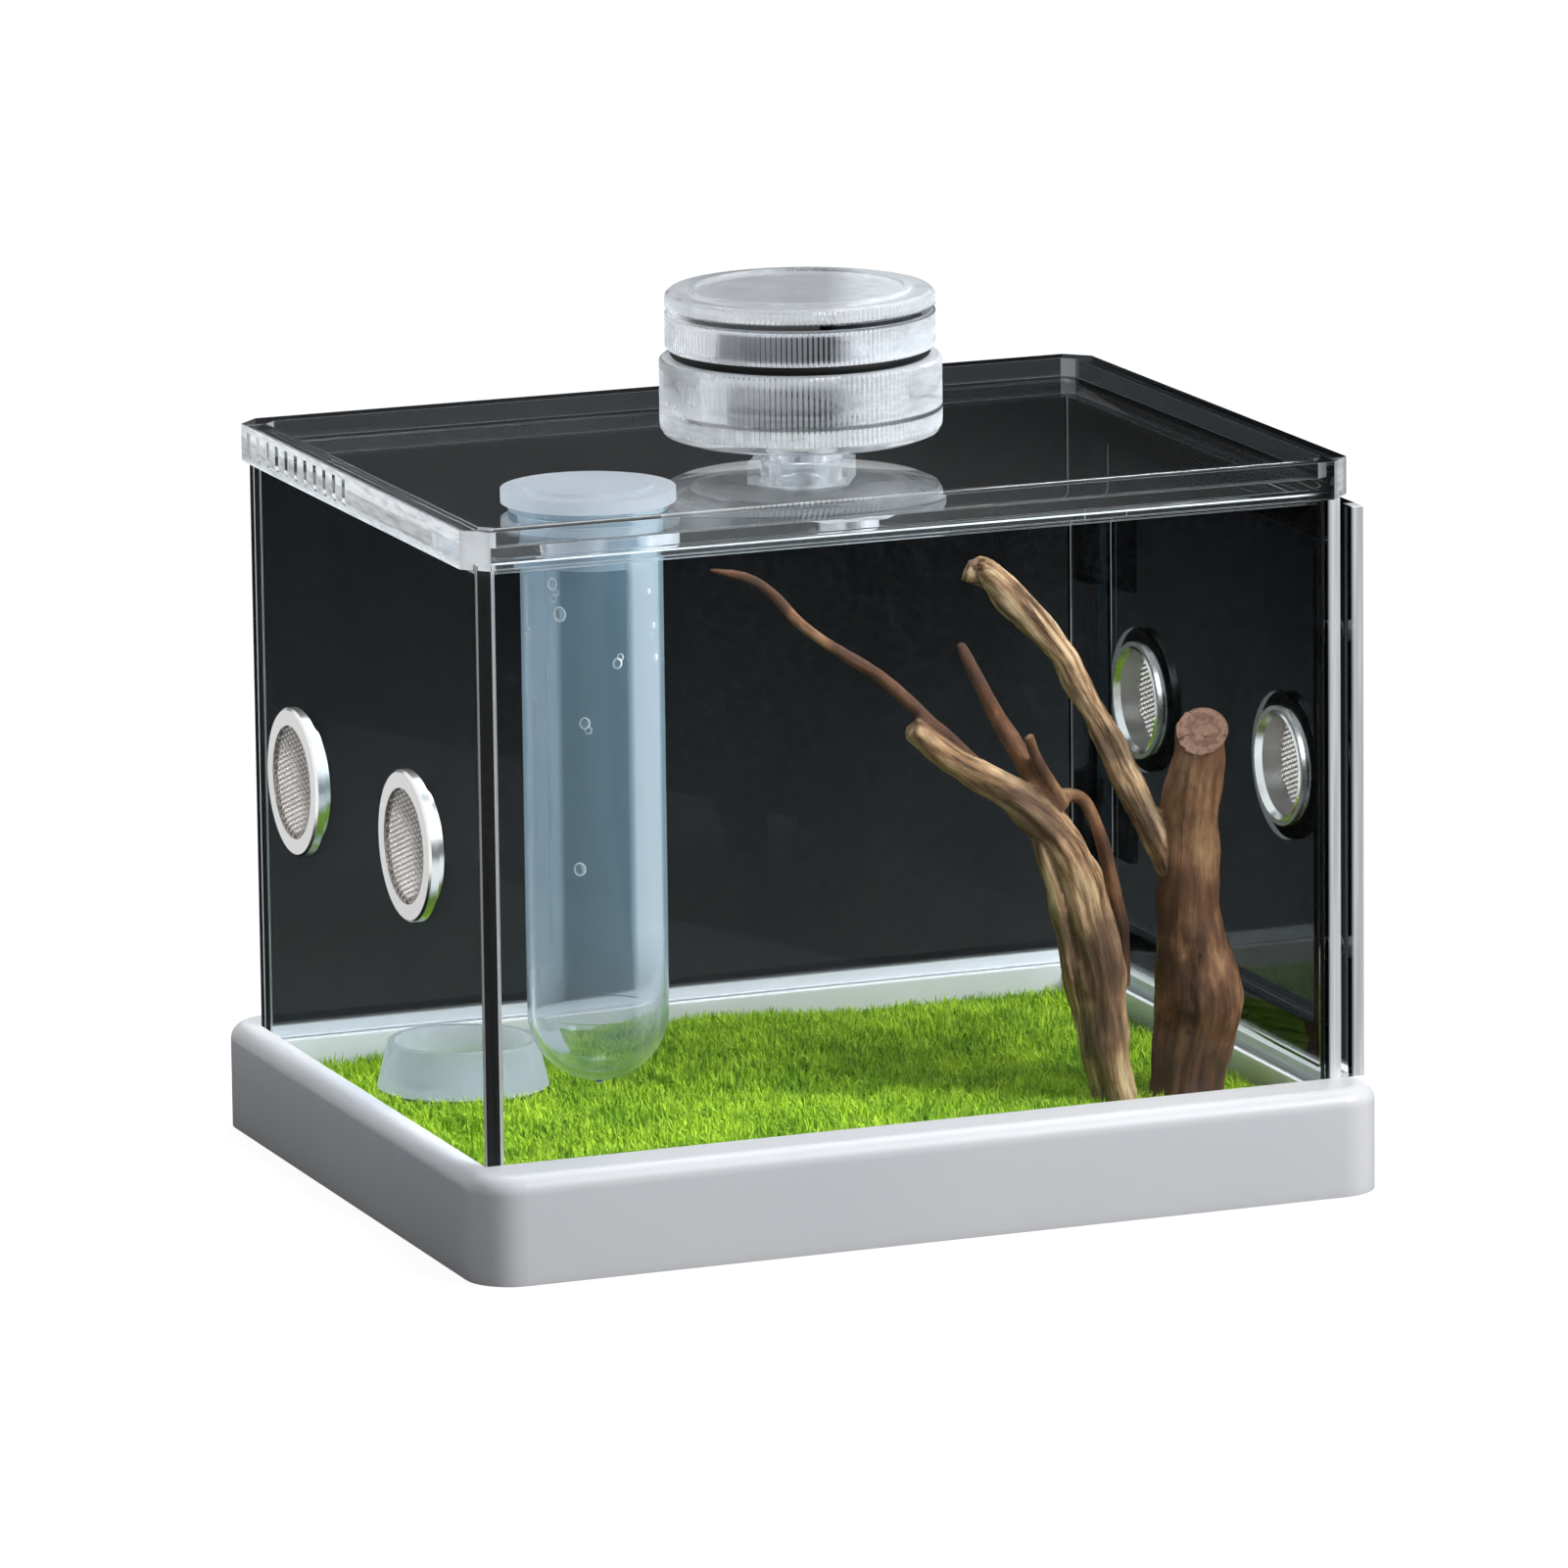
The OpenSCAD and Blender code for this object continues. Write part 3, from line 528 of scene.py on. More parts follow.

# %% [markdown]
# ## Cup and cap
# The cup's wall has its strongest painted shade in its upper half, with a thin painted dark line a
# third up. More milk and painted light lie on its lowest third and its top lip. The cap has a band
# of painted shade low down, and painted shade in the groove between its two rows of ridges.

# %% Cup and cap
CUP_WALL = 13.6
CAP_WALL = 9.8
cup_low, cup_high = span("feeder_cup")
cap_low, cap_high = span("feeder_cap")
seal_low, seal_high = span("feeder_seal")
cup_plastic = knurl_finish(
    "cup_plastic", "feeder_cup", seal_low.z - CUP_WALL, seal_low.z,
    gloom=(
        (0.28, 0.1), (0.33, 1.0), (0.38, 1.0), (0.42, 0.6), (0.48, 1.0), (0.56, 0.8),
        (0.82, 0.7), (0.88, 0.2),
    ),
    milk_and_light_levels=(
        (0.0, 0.02), (0.01, 0.35), (0.30, 0.35), (0.42, 0.2), (0.55, 0.08), (0.82, 0.08),
        (0.9, 0.35),
    ),
    line=(0.33, 0.37),
)
cap_plastic = knurl_finish(
    "cap_plastic", "feeder_cap", cap_low.z, cap_low.z + CAP_WALL,
    gloom=(
        (0.04, 0.3), (0.09, 1.0), (0.50, 1.0), (0.54, 0.2), (0.58, 0.2), (0.62, 1.0),
        (0.72, 1.0), (0.76, 0.35), (1.0, 0.3),
    ),
    milk_and_light_levels=(
        (0.04, 0.3), (0.09, 0.05), (0.50, 0.05), (0.54, 0.4), (0.60, 0.3), (0.72, 0.0),
        (0.76, 0.3),
    ),
    line=(0.60, 0.74),
)
print("cup wall from", round(seal_low.z - CUP_WALL, 2), "cap from", round(cap_low.z, 2))

# %% [markdown]
# ## Hazy plastic
# The water tube, its plug and the dish are softer plastics that scatter light: a pale blue-grey
# veil lies over what is behind them. On the tube, two bands along its left and right sides, as seen
# across the view, carry a painted highlight: a thicker and paler veil. The veil thins out towards
# the round end, which is nearly clear. A veil is a dull surface lit from both sides, mixed into
# clear plastic by its thickness.

# %% Hazy plastic
HAZY_SHADOW = (0.9, 0.92, 0.94, 1)
TUBE_DEEP = (0.22, 0.335, 0.405, 1)
# The paler veil of the painted highlight bands, and where the bands lie by which way the surface
# turns across the view
TUBE_HIGHLIGHT = (0.72, 0.80, 0.86, 1)
LEFT_HIGHLIGHT = ((0.0, 0), (0.58, 0), (0.66, 1), (1.0, 1))
RIGHT_HIGHLIGHT = ((0.0, 0), (0.5, 0), (0.6, 1), (0.92, 1), (0.96, 0.3))


def veil_of(root, colour):
    """A veil that is lit from both sides."""
    return both_ways(root, root.make("BsdfDiffuse", sockets={"Color": colour}), colour)


def show_hazy(root, veil, amount, rough):
    """Clear plastic mixed with an amount of a veil."""
    glass = clear_shader(root, CLEAR, rough, (0.6, 0.6, 0.6, 1), 1.46)
    show(lamps_pass(amount.grey(0, 1).over(glass, veil), HAZY_SHADOW))


def tube_finish(name):
    finish, root = new_finish(name)
    # Painted highlight: bands on the tube's left and right sides, as seen across the view, get a
    # thicker and paler veil
    side = root.make("TexCoord", out="Normal").vector("DOT_PRODUCT", tuple(level), out=1)
    left_highlight = (0 - side).levels(*LEFT_HIGHLIGHT)
    right_highlight = side.levels(*RIGHT_HIGHLIGHT)
    full = place_along(root, "z").grey(34, 52)
    flow = cloud(root, spot(root, stretch=(1, 1, 0.06)), 0.3, 3.0)
    rim = root.make("LayerWeight", sockets={"Blend": 0.3}, out="Facing")
    bands = left_highlight * 0.2 + right_highlight * 0.42
    amount = 0.05 + full * (0.30 + bands + (flow - 0.5) * 0.15) + rim * rim * 0.25
    pale = (right_highlight * 0.8 + left_highlight * 0.35).grey(0, 1)
    show_hazy(root, pale.over(veil_of(root, TUBE_DEEP), veil_of(root, TUBE_HIGHLIGHT)), amount, 0.03)
    return finish


def hazy_finish(name, colour, veil, rim, rough):
    finish, root = new_finish(name)
    turned = root.make("LayerWeight", sockets={"Blend": 0.35}, out="Facing")
    streaks = cloud(root, spot(root, stretch=(1, 1, 0.1)), 0.25, 3.0)
    amount = veil + turned * turned * rim + (streaks - 0.5) * 0.12
    show_hazy(root, veil_of(root, colour), amount, rough)
    return finish


tube_plastic = tube_finish("tube_plastic")
plug_plastic = hazy_finish("plug_plastic", (0.70, 0.745, 0.79, 1), 0.74, 0.2, 0.25)
dish_plastic = hazy_finish("dish_plastic", (0.72, 0.78, 0.82, 1), 0.35, 0.45, 0.15)
print("hazy finishes:", tube_plastic.name, plug_plastic.name, dish_plastic.name)

# %% [markdown]
# ## Milky plastic
# The tray is opaque white plastic with a soft satin skin. Light that enters it spreads a few
# millimetres before it leaves, which rounds its edges. Subsurface scattering gives that.

# %% Milky plastic


def milky_finish(name):
    finish, root = new_finish(name)
    grain = cloud(root, spot(root), 3.0, 4.0)
    shade = cloud(root, spot(root), 0.015, 2.0).grey(0.3, 0.7)
    show(root.make("BsdfPrincipled", sockets={
        "Base Color": shade.blend((0.80, 0.82, 0.87, 1), (0.85, 0.865, 0.90, 1)),
        "Roughness": 0.30 + grain * 0.12,
        "Subsurface Weight": 0.25,
        "Subsurface Radius": (1.0, 1.0, 1.2),
        "Subsurface Scale": 0.003,
        "Normal": bump(grain, 0.01),
    }))
    return finish


milky_plastic = milky_finish("milky_plastic")
print("tray finish:", milky_plastic.name)

# %% [markdown]
# ## Steel, rubber and magnets
# The vents are pressed from thin stainless steel. The ring that lies on the wall is blasted to a
# matt grey, and the sleeve and the edges are polished, so the finish asks which way the surface
# looks. The pins, the magnets and the wire cloth are steels that differ only in colour and
# polish, so one finish makes all three. The sealing ring is plain black rubber.

# %% Steel and rubber


def steel_finish(name, colour, rough, depth):
    finish, root = new_finish(name)
    marks = cloud(root, spot(root, stretch=(1, 1, 0.2)), 3.0, 5.0, 0.6)
    stain = cloud(root, spot(root), 0.2, 3.0).grey(0.3, 0.7)
    darker = tuple(0.86 * c for c in colour) + (1,)
    show(root.make("BsdfPrincipled", sockets={
        "Base Color": stain.blend(darker, (*colour, 1)),
        "Metallic": 1.0,
        "Roughness": rough + marks * 0.12,
        "Normal": bump(marks, depth),
    }))
    return finish


def vent_finish(name):
    finish, root = new_finish(name)
    matt = facing(root, "x").grey(0.85, 0.95)
    marks = cloud(root, spot(root), 5.0, 4.0, 0.6)
    show(root.make("BsdfPrincipled", sockets={
        "Base Color": matt.blend((0.90, 0.90, 0.89, 1), (0.95, 0.95, 0.95, 1)),
        "Metallic": 1 - matt * 0.4,
        "Roughness": 0.22 + matt * 0.23 + marks * 0.08,
        "Normal": bump(marks, 0.004),
    }))
    return finish


def rubber_finish(name):
    finish, root = new_finish(name)
    pores = cloud(root, spot(root), 4.0, 4.0)
    show(root.make("BsdfPrincipled", sockets={
        "Base Color": pores.blend((0.003, 0.003, 0.003, 1), (0.008, 0.008, 0.009, 1)),
        "Specular IOR Level": 0.15,
        "Roughness": 0.5 + pores * 0.2,
        "Normal": bump(pores, 0.02),
    }))
    return finish


vent_steel = vent_finish("vent_steel")
pin_steel = steel_finish("pin_steel", (0.86, 0.86, 0.85), 0.16, 0.004)
wire_steel = steel_finish("wire_steel", (0.48, 0.455, 0.435), 0.42, 0.002)
magnet_steel = steel_finish("magnet_steel", (0.74, 0.75, 0.77), 0.12, 0.002)
black_rubber = rubber_finish("black_rubber")
print("metals:", vent_steel.name, pin_steel.name, wire_steel.name, magnet_steel.name)

# %% [markdown]
# ## Dressing the construction
# Most nodes already have their true shapes, so they stay and only get their finish. A table of
# name beginnings and finishes says it in one place.

# %% Dressing
DRESS = {
    "base_tray": milky_plastic,
    "front_wall": sheet_front,
    "left_wall": sheet_left,
    "back_wall": smoked_back,
    "right_frame": smoked_frame,
    "side_door": smoked_door,
    "frame_leaf": hinge_plastic,
    "door_leaf": hinge_plastic,
    "hinge_pin": pin_steel,
    "frame_magnets": magnet_steel,
    "door_magnets": magnet_steel,
    "vent_housing": vent_steel,
    "vent_ring": vent_steel,
    "vent_mesh": wire_steel,
    "lid": lid_plastic,
    "feeder_cup": cup_plastic,
    "feeder_nut": nut_plastic,
    "feeder_cap": cap_plastic,
    "feeder_seal": black_rubber,
    "water_tube": tube_plastic,
    "tube_plug": plug_plastic,
    "feeding_dish": dish_plastic,
}

for name, piece in nodes.items():
    for start, finish in DRESS.items():
        if name.startswith(start):
            piece.data.materials.clear()
            piece.data.materials.append(finish)
print("dressed", len(nodes), "nodes")

# %% [markdown]
# ## Eased edges
# On the real sheets every edge is scraped to a narrow bevel, and it is this bevel that catches
# the light. The construction has plain square edges, so each sheet is made again with a bevel of
# a third of a millimetre, and the lid with a wider one. The copy first loses the cuts between
# flat triangles, or the bevel would follow them.

# %% Eased edges
EASE = 0.3
LID_EASE = 0.5
CORNER_ANGLE = math.radians(40)


def eased(node, body, width=EASE):
    shape = bmesh.new()
    shape.from_mesh(nodes[node].data)
    bmesh.ops.remove_doubles(shape, verts=shape.verts, dist=0.001 * MM)
    bmesh.ops.dissolve_limit(
        shape, angle_limit=math.radians(0.5), verts=shape.verts, edges=shape.edges
    )
    inner = [edge for edge in shape.edges if len(edge.link_faces) == 2]
    corners = [edge for edge in inner if edge.calc_face_angle() > CORNER_ANGLE]
    bmesh.ops.bevel(
        shape, geom=corners, offset=width * MM, segments=2, profile=0.5, affect="EDGES",
        clamp_overlap=True
    )
    mesh = bpy.data.meshes.new(node + "_eased")
    shape.to_mesh(mesh)
    shape.free()
    mesh.materials.append(nodes[node].data.materials[0])
    mesh.shade_smooth()
    mesh.set_sharp_from_angle(angle=math.radians(15))
    piece = bpy.data.objects.new(node + "_eased", mesh)
    bpy.context.scene.collection.objects.link(piece)
    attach(piece, body)
    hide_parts(node)
    print(piece.name, len(corners), "edges eased,", len(mesh.polygons), "faces")


for name in ("front_wall", "back_wall", "left_wall", "right_frame"):
    eased(name, "base")
eased("side_door", "door")
eased("lid", "lid", LID_EASE)

# %% [markdown]
# ## Making meshes
# Every new piece below is points and faces in millimetres. One helper turns them into an object,
# gives it a finish, sets the body that carries it and hides the node that it stands for.

# %% Mesh helper


def add_piece(name, points, faces, finish, body, sharp=40, stands_for=()):
    mesh = bpy.data.meshes.new(name)
    mesh.from_pydata([(x * MM, y * MM, z * MM) for x, y, z in points], [], faces)
    mesh.materials.append(finish)
    mesh.shade_smooth()
    mesh.set_sharp_from_angle(angle=math.radians(sharp))
    piece = bpy.data.objects.new(name, mesh)
    bpy.context.scene.collection.objects.link(piece)
    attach(piece, body)
    if stands_for:
        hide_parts(*stands_for)
    print(name, len(points), "points", len(faces), "faces")


def lathe(profile, centre, count, radius_at=None):
    """Turns a closed outline of (radius, height) round an upright axis."""
    points, faces = [], []
    rows = len(profile)
    for k in range(count):
        angle = 2 * math.pi * k / count
        for i, (radius, height) in enumerate(profile):
            r = radius_at(i, k, radius, height) if radius_at else radius
            x, y = centre[0] + r * math.cos(angle), centre[1] + r * math.sin(angle)
            points.append((x, y, height))
    for k in range(count):
        ahead = (k + 1) % count
        for i in range(rows):
            j = (i + 1) % rows
            faces.append((k * rows + i, ahead * rows + i, ahead * rows + j, k * rows + j))
    return points, faces


print("mesh helpers take millimetres, and one of them is", MM, "m")

# %% [markdown]
# ## Turf colours
# Artificial grass is never one green. Its pile has yellow-green tips, darker strands between
# them and a few dry straw-coloured ones, and whole patches are a little darker. Noises of three
# sizes give those: patches, straws and single flecks. The backing below is nearly black.

# %% Turf colours


def turf_finish(name, dark, light, old):
    finish, root = new_finish(name)
    where = spot(root)
    patches = cloud(root, where, 0.11, 5.0, 0.65).grey(0.38, 0.64)
    flecks = cloud(root, where, 1.4, 3.0, 0.6).grey(0.3, 0.7)
    straw = cloud(root, where, 0.35, 5.0, 0.7).grey(0.58, 0.72)
    green = flecks.blend(dark, light)
    shaded = (patches * 0.6 + 0.4).blend(dark, green)
    lively = (patches * 0.5).blend(shaded, light)
    show(root.make("BsdfPrincipled", sockets={
        "Base Color": (straw * 0.5).blend(lively, old),
        "Roughness": 0.7,
        "Specular IOR Level": 0.15,
    }))
    return finish


turf_green = turf_finish(
    "turf_green", dark=(0.17, 0.42, 0.02, 1), light=(0.74, 1.0, 0.07, 1), old=(0.86, 0.80, 0.12, 1)
)
turf_earth = turf_finish(
    "turf_earth", dark=(0.010, 0.035, 0.002, 1), light=(0.035, 0.09, 0.006, 1),
    old=(0.05, 0.05, 0.01, 1)
)
print("turf finishes:", turf_green.name, turf_earth.name)

# %% [markdown]
# ## Turf backing
# The mat is short artificial grass: a dark backing with soft mounds and a dense pile of fine
# blades. The backing is a grid whose heights follow the mounds, closed by sides and a floor. It
# lies lower than the construction's mat, so that the blades' tips reach the mat's real height.

# %% Turf backing
turf_low, turf_high = span("turf_mat")
TURF_LEVEL = 12.0
BACKING_DROP = 1.9
BACKING_STEP = 2.0
# Mounds: place as a share of the mat, radius at the foot, height
MOUNDS = (
    ((0.02, 0.26), 32, 3.6), ((0.28, 0.28), 20, 2.1), ((-0.12, -0.24), 26, 1.8),
    ((-0.36, -0.02), 12, 1.5),
)
turf_width = turf_high.x - turf_low.x
turf_depth = turf_high.y - turf_low.y


def mound_height(x, y):
    """Height of the mat above its level, as smooth mounds."""
    total = np.zeros_like(x)
    for (across, along), foot, height in MOUNDS:
        away = np.hypot(x - across * turf_width, y - along * turf_depth) / foot
        total = np.maximum(total, height * np.clip(1 - away**2, 0, 1))
    return total


def turf_backing():
    xs = np.linspace(turf_low.x, turf_high.x, int(turf_width / BACKING_STEP))
    ys = np.linspace(turf_low.y, turf_high.y, int(turf_depth / BACKING_STEP))
    gx, gy = np.meshgrid(xs, ys, indexing="ij")
    top = TURF_LEVEL - BACKING_DROP + mound_height(gx, gy)
    points = list(zip(gx.ravel(), gy.ravel(), top.ravel()))
    columns = len(ys)
    faces = [
        (i * columns + j, (i + 1) * columns + j, (i + 1) * columns + j + 1, i * columns + j + 1)
        for i in range(len(xs) - 1)
        for j in range(columns - 1)
    ]
    rim = [i * columns for i in range(len(xs))]
    rim += [(len(xs) - 1) * columns + j for j in range(1, columns)]
    rim += [i * columns + columns - 1 for i in range(len(xs) - 2, -1, -1)]
    rim += [j for j in range(columns - 2, 0, -1)]
    first = len(points)
    points += [(points[r][0], points[r][1], turf_low.z) for r in rim]
    for k, r in enumerate(rim):
        ahead = (k + 1) % len(rim)
        faces.append((r, first + k, first + ahead, rim[ahead]))
    faces.append(tuple(first + k for k in range(len(rim) - 1, -1, -1)))
    add_piece("turf_backing", points, faces, turf_earth, "base", stands_for=("turf_mat",))


turf_backing()

# %% [markdown]
# ## Turf pile
# Each blade is a small bent strip, wide at its foot and pointed at its tip. Tens of thousands of
# them, leaning at random, give the light and dark flecks of real pile, which no bump on a flat
# mat would. Particle hair could do it too, but it is no mesh and would be lost on export. A
# blade's three steps are its foot, a bend and its tip. None stands below the dish, and the tips
# are kept inside the mat's outline. The random numbers are seeded, so the pile is always the same.

# %% Turf pile
BLADES = 60000
BLADE_WIDTH = 0.38
BLADE_LENGTHS = (2.2, 4.0)
EDGE_MARGIN = 0.8
dish_low, dish_high = span("feeding_dish")
dish_centre = (dish_low + dish_high) / 2
dish_radius = (dish_high.x - dish_low.x) / 2


def turf_pile():
    rng = np.random.default_rng(7)
    x = rng.uniform(turf_low.x + EDGE_MARGIN, turf_high.x - EDGE_MARGIN, BLADES)
    y = rng.uniform(turf_low.y + EDGE_MARGIN, turf_high.y - EDGE_MARGIN, BLADES)
    clear_of_dish = np.hypot(x - dish_centre.x, y - dish_centre.y) > dish_radius + 0.3
    x, y = x[clear_of_dish], y[clear_of_dish]
    count = len(x)
    turn = rng.uniform(0, 2 * math.pi, count)
    lean = rng.uniform(0.15, 1.0, count)[:, None] ** 1.2
    length = rng.uniform(*BLADE_LENGTHS, count)[:, None]
    twist = turn + rng.normal(0, 0.5, count) + math.pi / 2
    half = BLADE_WIDTH / 2 * rng.uniform(0.6, 1.2, count)[:, None]
    foot_z = TURF_LEVEL - BACKING_DROP + mound_height(x, y)
    across = np.stack([np.cos(twist), np.sin(twist), np.zeros(count)], 1)
    ahead = np.stack([np.cos(turn), np.sin(turn), np.zeros(count)], 1)
    foot = np.stack([x, y, foot_z], 1)
    upright = np.array([0, 0, 1.0])
    middle = foot + length * (0.55 * upright + 0.25 * lean * ahead)
    tip = foot + length * ((1 - 0.35 * lean) * upright + 0.75 * lean * ahead)
    low = np.array([turf_low.x, turf_low.y, 0]) + 0.1
    high = np.array([turf_high.x, turf_high.y, 1000]) - 0.1
    rows = [
        foot - half * across,
        foot + half * across,
        middle - 0.8 * half * across,
        middle + 0.8 * half * across,
        tip,
    ]
    points = np.clip(np.stack(rows, 1), low, high).reshape(-1, 3)
    faces = []
    for k in range(count):
        b = 5 * k
        faces.append((b, b + 1, b + 3, b + 2))
        faces.append((b + 2, b + 3, b + 4))
    add_piece("turf_pile", points.tolist(), faces, turf_green, "base", sharp=180)


turf_pile()

# %% [markdown]
# ## Driftwood
# A branch of driftwood is a bent, tapering stick with long grooves where the bark has gone. Each
# branch is a row of points with a radius, the same rows as in the construction, with z from the
# turf's top. The number before a row is its tone, from 0 for tan to 1 for red. A voxel sculpt
# could give such wood too, but rows keep the branches where the construction has them.

# %% Driftwood rows
LEFT_WOOD = {
    "trunk": (0.35, [
        (48, -30, -2, 3.3), (46, -30, 6.5, 3.3), (45, -30, 14, 3.8), (44, -30, 23, 4.2),
        (42, -30, 32, 4.4), (40, -30, 39.5, 4.3), (37, -30, 46.5, 3.9), (32.5, -30, 51.5, 3.4),
        (25.5, -30, 57, 2.9), (16.5, -30, 63, 2.4), (10, -30, 68.5, 2),
    ]),
    "strand": (0.15, [
        (45.5, -27, -2, 1.2), (42.5, -28, 9.5, 1.5), (40.5, -29, 18, 1.7), (38, -30, 28.5, 1.8),
        (35.5, -30.5, 39.5, 1.8), (33.5, -30.5, 46, 1.7), (33, -30.5, 50, 1.3),
    ]),
    "flank": (0.75, [
        (50, -28, 19, 0.8), (50, -27, 27.5, 1.2), (48.5, -27, 35, 1.3), (47, -27, 42, 1.3),
        (44.5, -28, 48, 1.3), (42, -28, 53, 1.2), (37.5, -29, 54.5, 1.1),
    ]),
    "red": (0.85, [
        (35.5, -30, 52, 2), (32, -29, 59, 1.8), (29.5, -27, 64, 1.6), (26, -25, 71, 1.4),
        (23, -24, 77.5, 1.2), (21.5, -23, 81, 0.9),
    ]),
    "stub": (0.7, [
        (37.5, -30, 52.5, 1.6), (34, -31, 58, 1.3), (31.5, -32, 62.5, 1.1), (30, -33, 66, 1),
    ]),
    "twig": (0.8, [
        (22, -30, 60.5, 1.4), (14.5, -28, 68.5, 1.2), (5.5, -27, 77, 1.1), (-1, -27, 81.5, 1),
        (-9, -27, 87.5, 1), (-14, -27, 93, 1.1), (-19, -27.5, 96.5, 0.9), (-26, -28, 98.5, 0.5),
    ]),
}
RIGHT_WOOD = {
    "trunk": (0.75, [
        (60, -30, -2, 6.2), (60.5, -30, 4, 6.4), (61.5, -30, 9, 6.8), (63, -30, 15.5, 7.8),
        (62, -30, 22, 7.1), (61, -30, 30, 5.9), (61, -30, 38.5, 5.3), (61, -30, 47, 4.9),
        (62, -30, 54, 4.8), (63, -30, 60, 4.6), (63.5, -30, 63.5, 4.4), (64, -30, 68.5, 4.3),
    ]),
    "branch": (0.0, [
        (57.5, -30, 40, 2.4), (55, -29, 46, 2.5), (51, -27, 55, 2.5), (47.5, -25, 63.5, 2.5),
        (44, -23, 70.5, 2.4), (41, -21, 77, 2.5), (37.5, -19.5, 82, 2.6), (33, -18, 87.5, 2.8),
        (29.5, -17, 91.5, 2.5), (27, -16.5, 93.5, 1.5),
    ]),
    "fork": (0.1, [(31, -16.8, 89.5, 2.0), (28, -16.2, 91.2, 2.1), (25.6, -15.8, 92, 2.0)]),
}
print("branches:", len(LEFT_WOOD) + len(RIGHT_WOOD))

# %% [markdown]
# ## Smooth curves
# Real wood has no corners, so a smooth curve is laid through each row's points. A curve that
# passes through its points and needs only their neighbours does that. The radius runs along as
# a fourth value, so that the thickness changes as smoothly as the way does.

# %% Smooth curves
SWEEP_STEP = 1.0


def smooth_row(row):
    """Points along a smooth curve through a row, about one a step, turf level added."""
    p = np.array(row, float)
    p = np.vstack([2 * p[0] - p[1], p, 2 * p[-1] - p[-2]])
    out = []
    for i in range(1, len(p) - 2):
        steps = max(2, int(np.linalg.norm(p[i + 1, :3] - p[i, :3]) / SWEEP_STEP))
        for t in np.linspace(0, 1, steps, endpoint=False):
            out.append(0.5 * (
                2 * p[i]
                + (p[i + 1] - p[i - 1]) * t
                + (2 * p[i - 1] - 5 * p[i] + 4 * p[i + 1] - p[i + 2]) * t**2
                + (3 * p[i] - p[i - 1] - 3 * p[i + 1] + p[i + 2]) * t**3
            ))
    out.append(p[-2])
    out = np.array(out)
    out[:, 2] += TURF_LEVEL
    return out


print("the left trunk's curve has", len(smooth_row(LEFT_WOOD["trunk"][1])), "points")

# %% [markdown]
# ## One skin over all branches
# Each curve is swept into a closed tube, and the tubes of one stick pass into each other where
# they fork. A voxel remesh fuses them into one skin without seams, and a short smoothing takes
# away its steps. Boolean unions would leave sharp creases at the forks, which wood hasn't.

# %% One skin
SWEEP_SIDES = 18
VOXEL = 0.55


def sweep(curve):
    """A closed tube along a curve of (x, y, z, radius)."""
    points, faces = [], []
    side = Vector((0, 1, 0))
    n = SWEEP_SIDES
    for i, (x, y, z, r) in enumerate(curve.tolist()):
        behind, ahead = curve[max(i - 1, 0)], curve[min(i + 1, len(curve) - 1)]
        along = Vector(ahead[:3] - behind[:3]).normalized()
        side = (side - side.dot(along) * along).normalized()
        other = along.cross(side)
        for k in range(n):
            angle = 2 * math.pi * k / n
            outward = math.cos(angle) * side + math.sin(angle) * other
            points.append(Vector((x, y, z)) + r * outward)
    for i in range(len(curve) - 1):
        for k in range(n):
            a, b = i * n + k, i * n + (k + 1) % n
            faces.append((a, b, b + n, a + n))
    faces.append(tuple(range(n - 1, -1, -1)))
    faces.append(tuple(range((len(curve) - 1) * n, len(curve) * n)))
    return points, faces


def joined_tubes(curves):
    """All tubes of one stick, fused into one skin by a voxel remesh."""
    points, faces = [], []
    for curve in curves:
        more_points, more_faces = sweep(curve)
        faces += [tuple(len(points) + i for i in face) for face in more_faces]
        points += [p * MM for p in more_points]
    mesh = bpy.data.meshes.new("tubes")
    mesh.from_pydata(points, [], faces)
    rough = bpy.data.objects.new("tubes", mesh)
    bpy.context.scene.collection.objects.link(rough)
    remesh = rough.modifiers.new("fuse", "REMESH")
    remesh.mode = "VOXEL"
    remesh.voxel_size = VOXEL * MM
    soften = rough.modifiers.new("soften", "SMOOTH")
    soften.iterations = 3
    bpy.context.view_layer.update()
    graph = bpy.context.evaluated_depsgraph_get()
    fused = bpy.data.meshes.new_from_object(rough.evaluated_get(graph))
    bpy.data.objects.remove(rough)
    bpy.data.meshes.remove(mesh)
    return fused


print("voxels of", VOXEL, "mm")

# %% [markdown]
# ## Bark and sawn wood
# Tan branches have long streaks along their grain, and red ones have soft blotches instead. A
# darker stain lies over both in places. A sawn face shows rings round the branch's middle and a
# few splits. The mesh tells the material three things at every vertex: the place in the grain,
# the tone of its branch and whether it lies on a sawn face.

# %% Bark and sawn wood
TONE, GRAIN, CUT = "tone", "grain", "cut"
BARK_TAN = ((0.3, (0.055, 0.024, 0.009)), (0.48, (0.36, 0.20, 0.09)), (0.68, (0.78, 0.56, 0.33)))
BARK_RED = ((0.3, (0.022, 0.007, 0.003)), (0.5, (0.15, 0.055, 0.020)), (0.72, (0.46, 0.23, 0.10)))
STAIN = (0.07, 0.035, 0.02, 1)
RING_DARK = (0.20, 0.095, 0.06, 1)
RING_LIGHT = (0.36, 0.20, 0.135, 1)
SPLIT = (0.025, 0.01, 0.006, 1)


def sawn_colour(root, grain):
    """Rings round the branch's middle, with a few dark splits."""
    reach = grain.vector("LENGTH", out=1)
    wander = reach * 6 + cloud(root, spot(root), 0.5, 5.0, 0.7) * 15
    rings = wander.math("SINE").grey(-1, 1).blend(RING_DARK, RING_LIGHT)
    split = (cloud(root, spot(root), 0.22, 3.0) - 0.5).math("ABSOLUTE").grey(0.005, 0.03)
    sound = cloud(root, spot(root), 0.15, 2.0).grey(0.47, 0.40)
    return (split + sound).grey(0, 1).blend(SPLIT, rings)


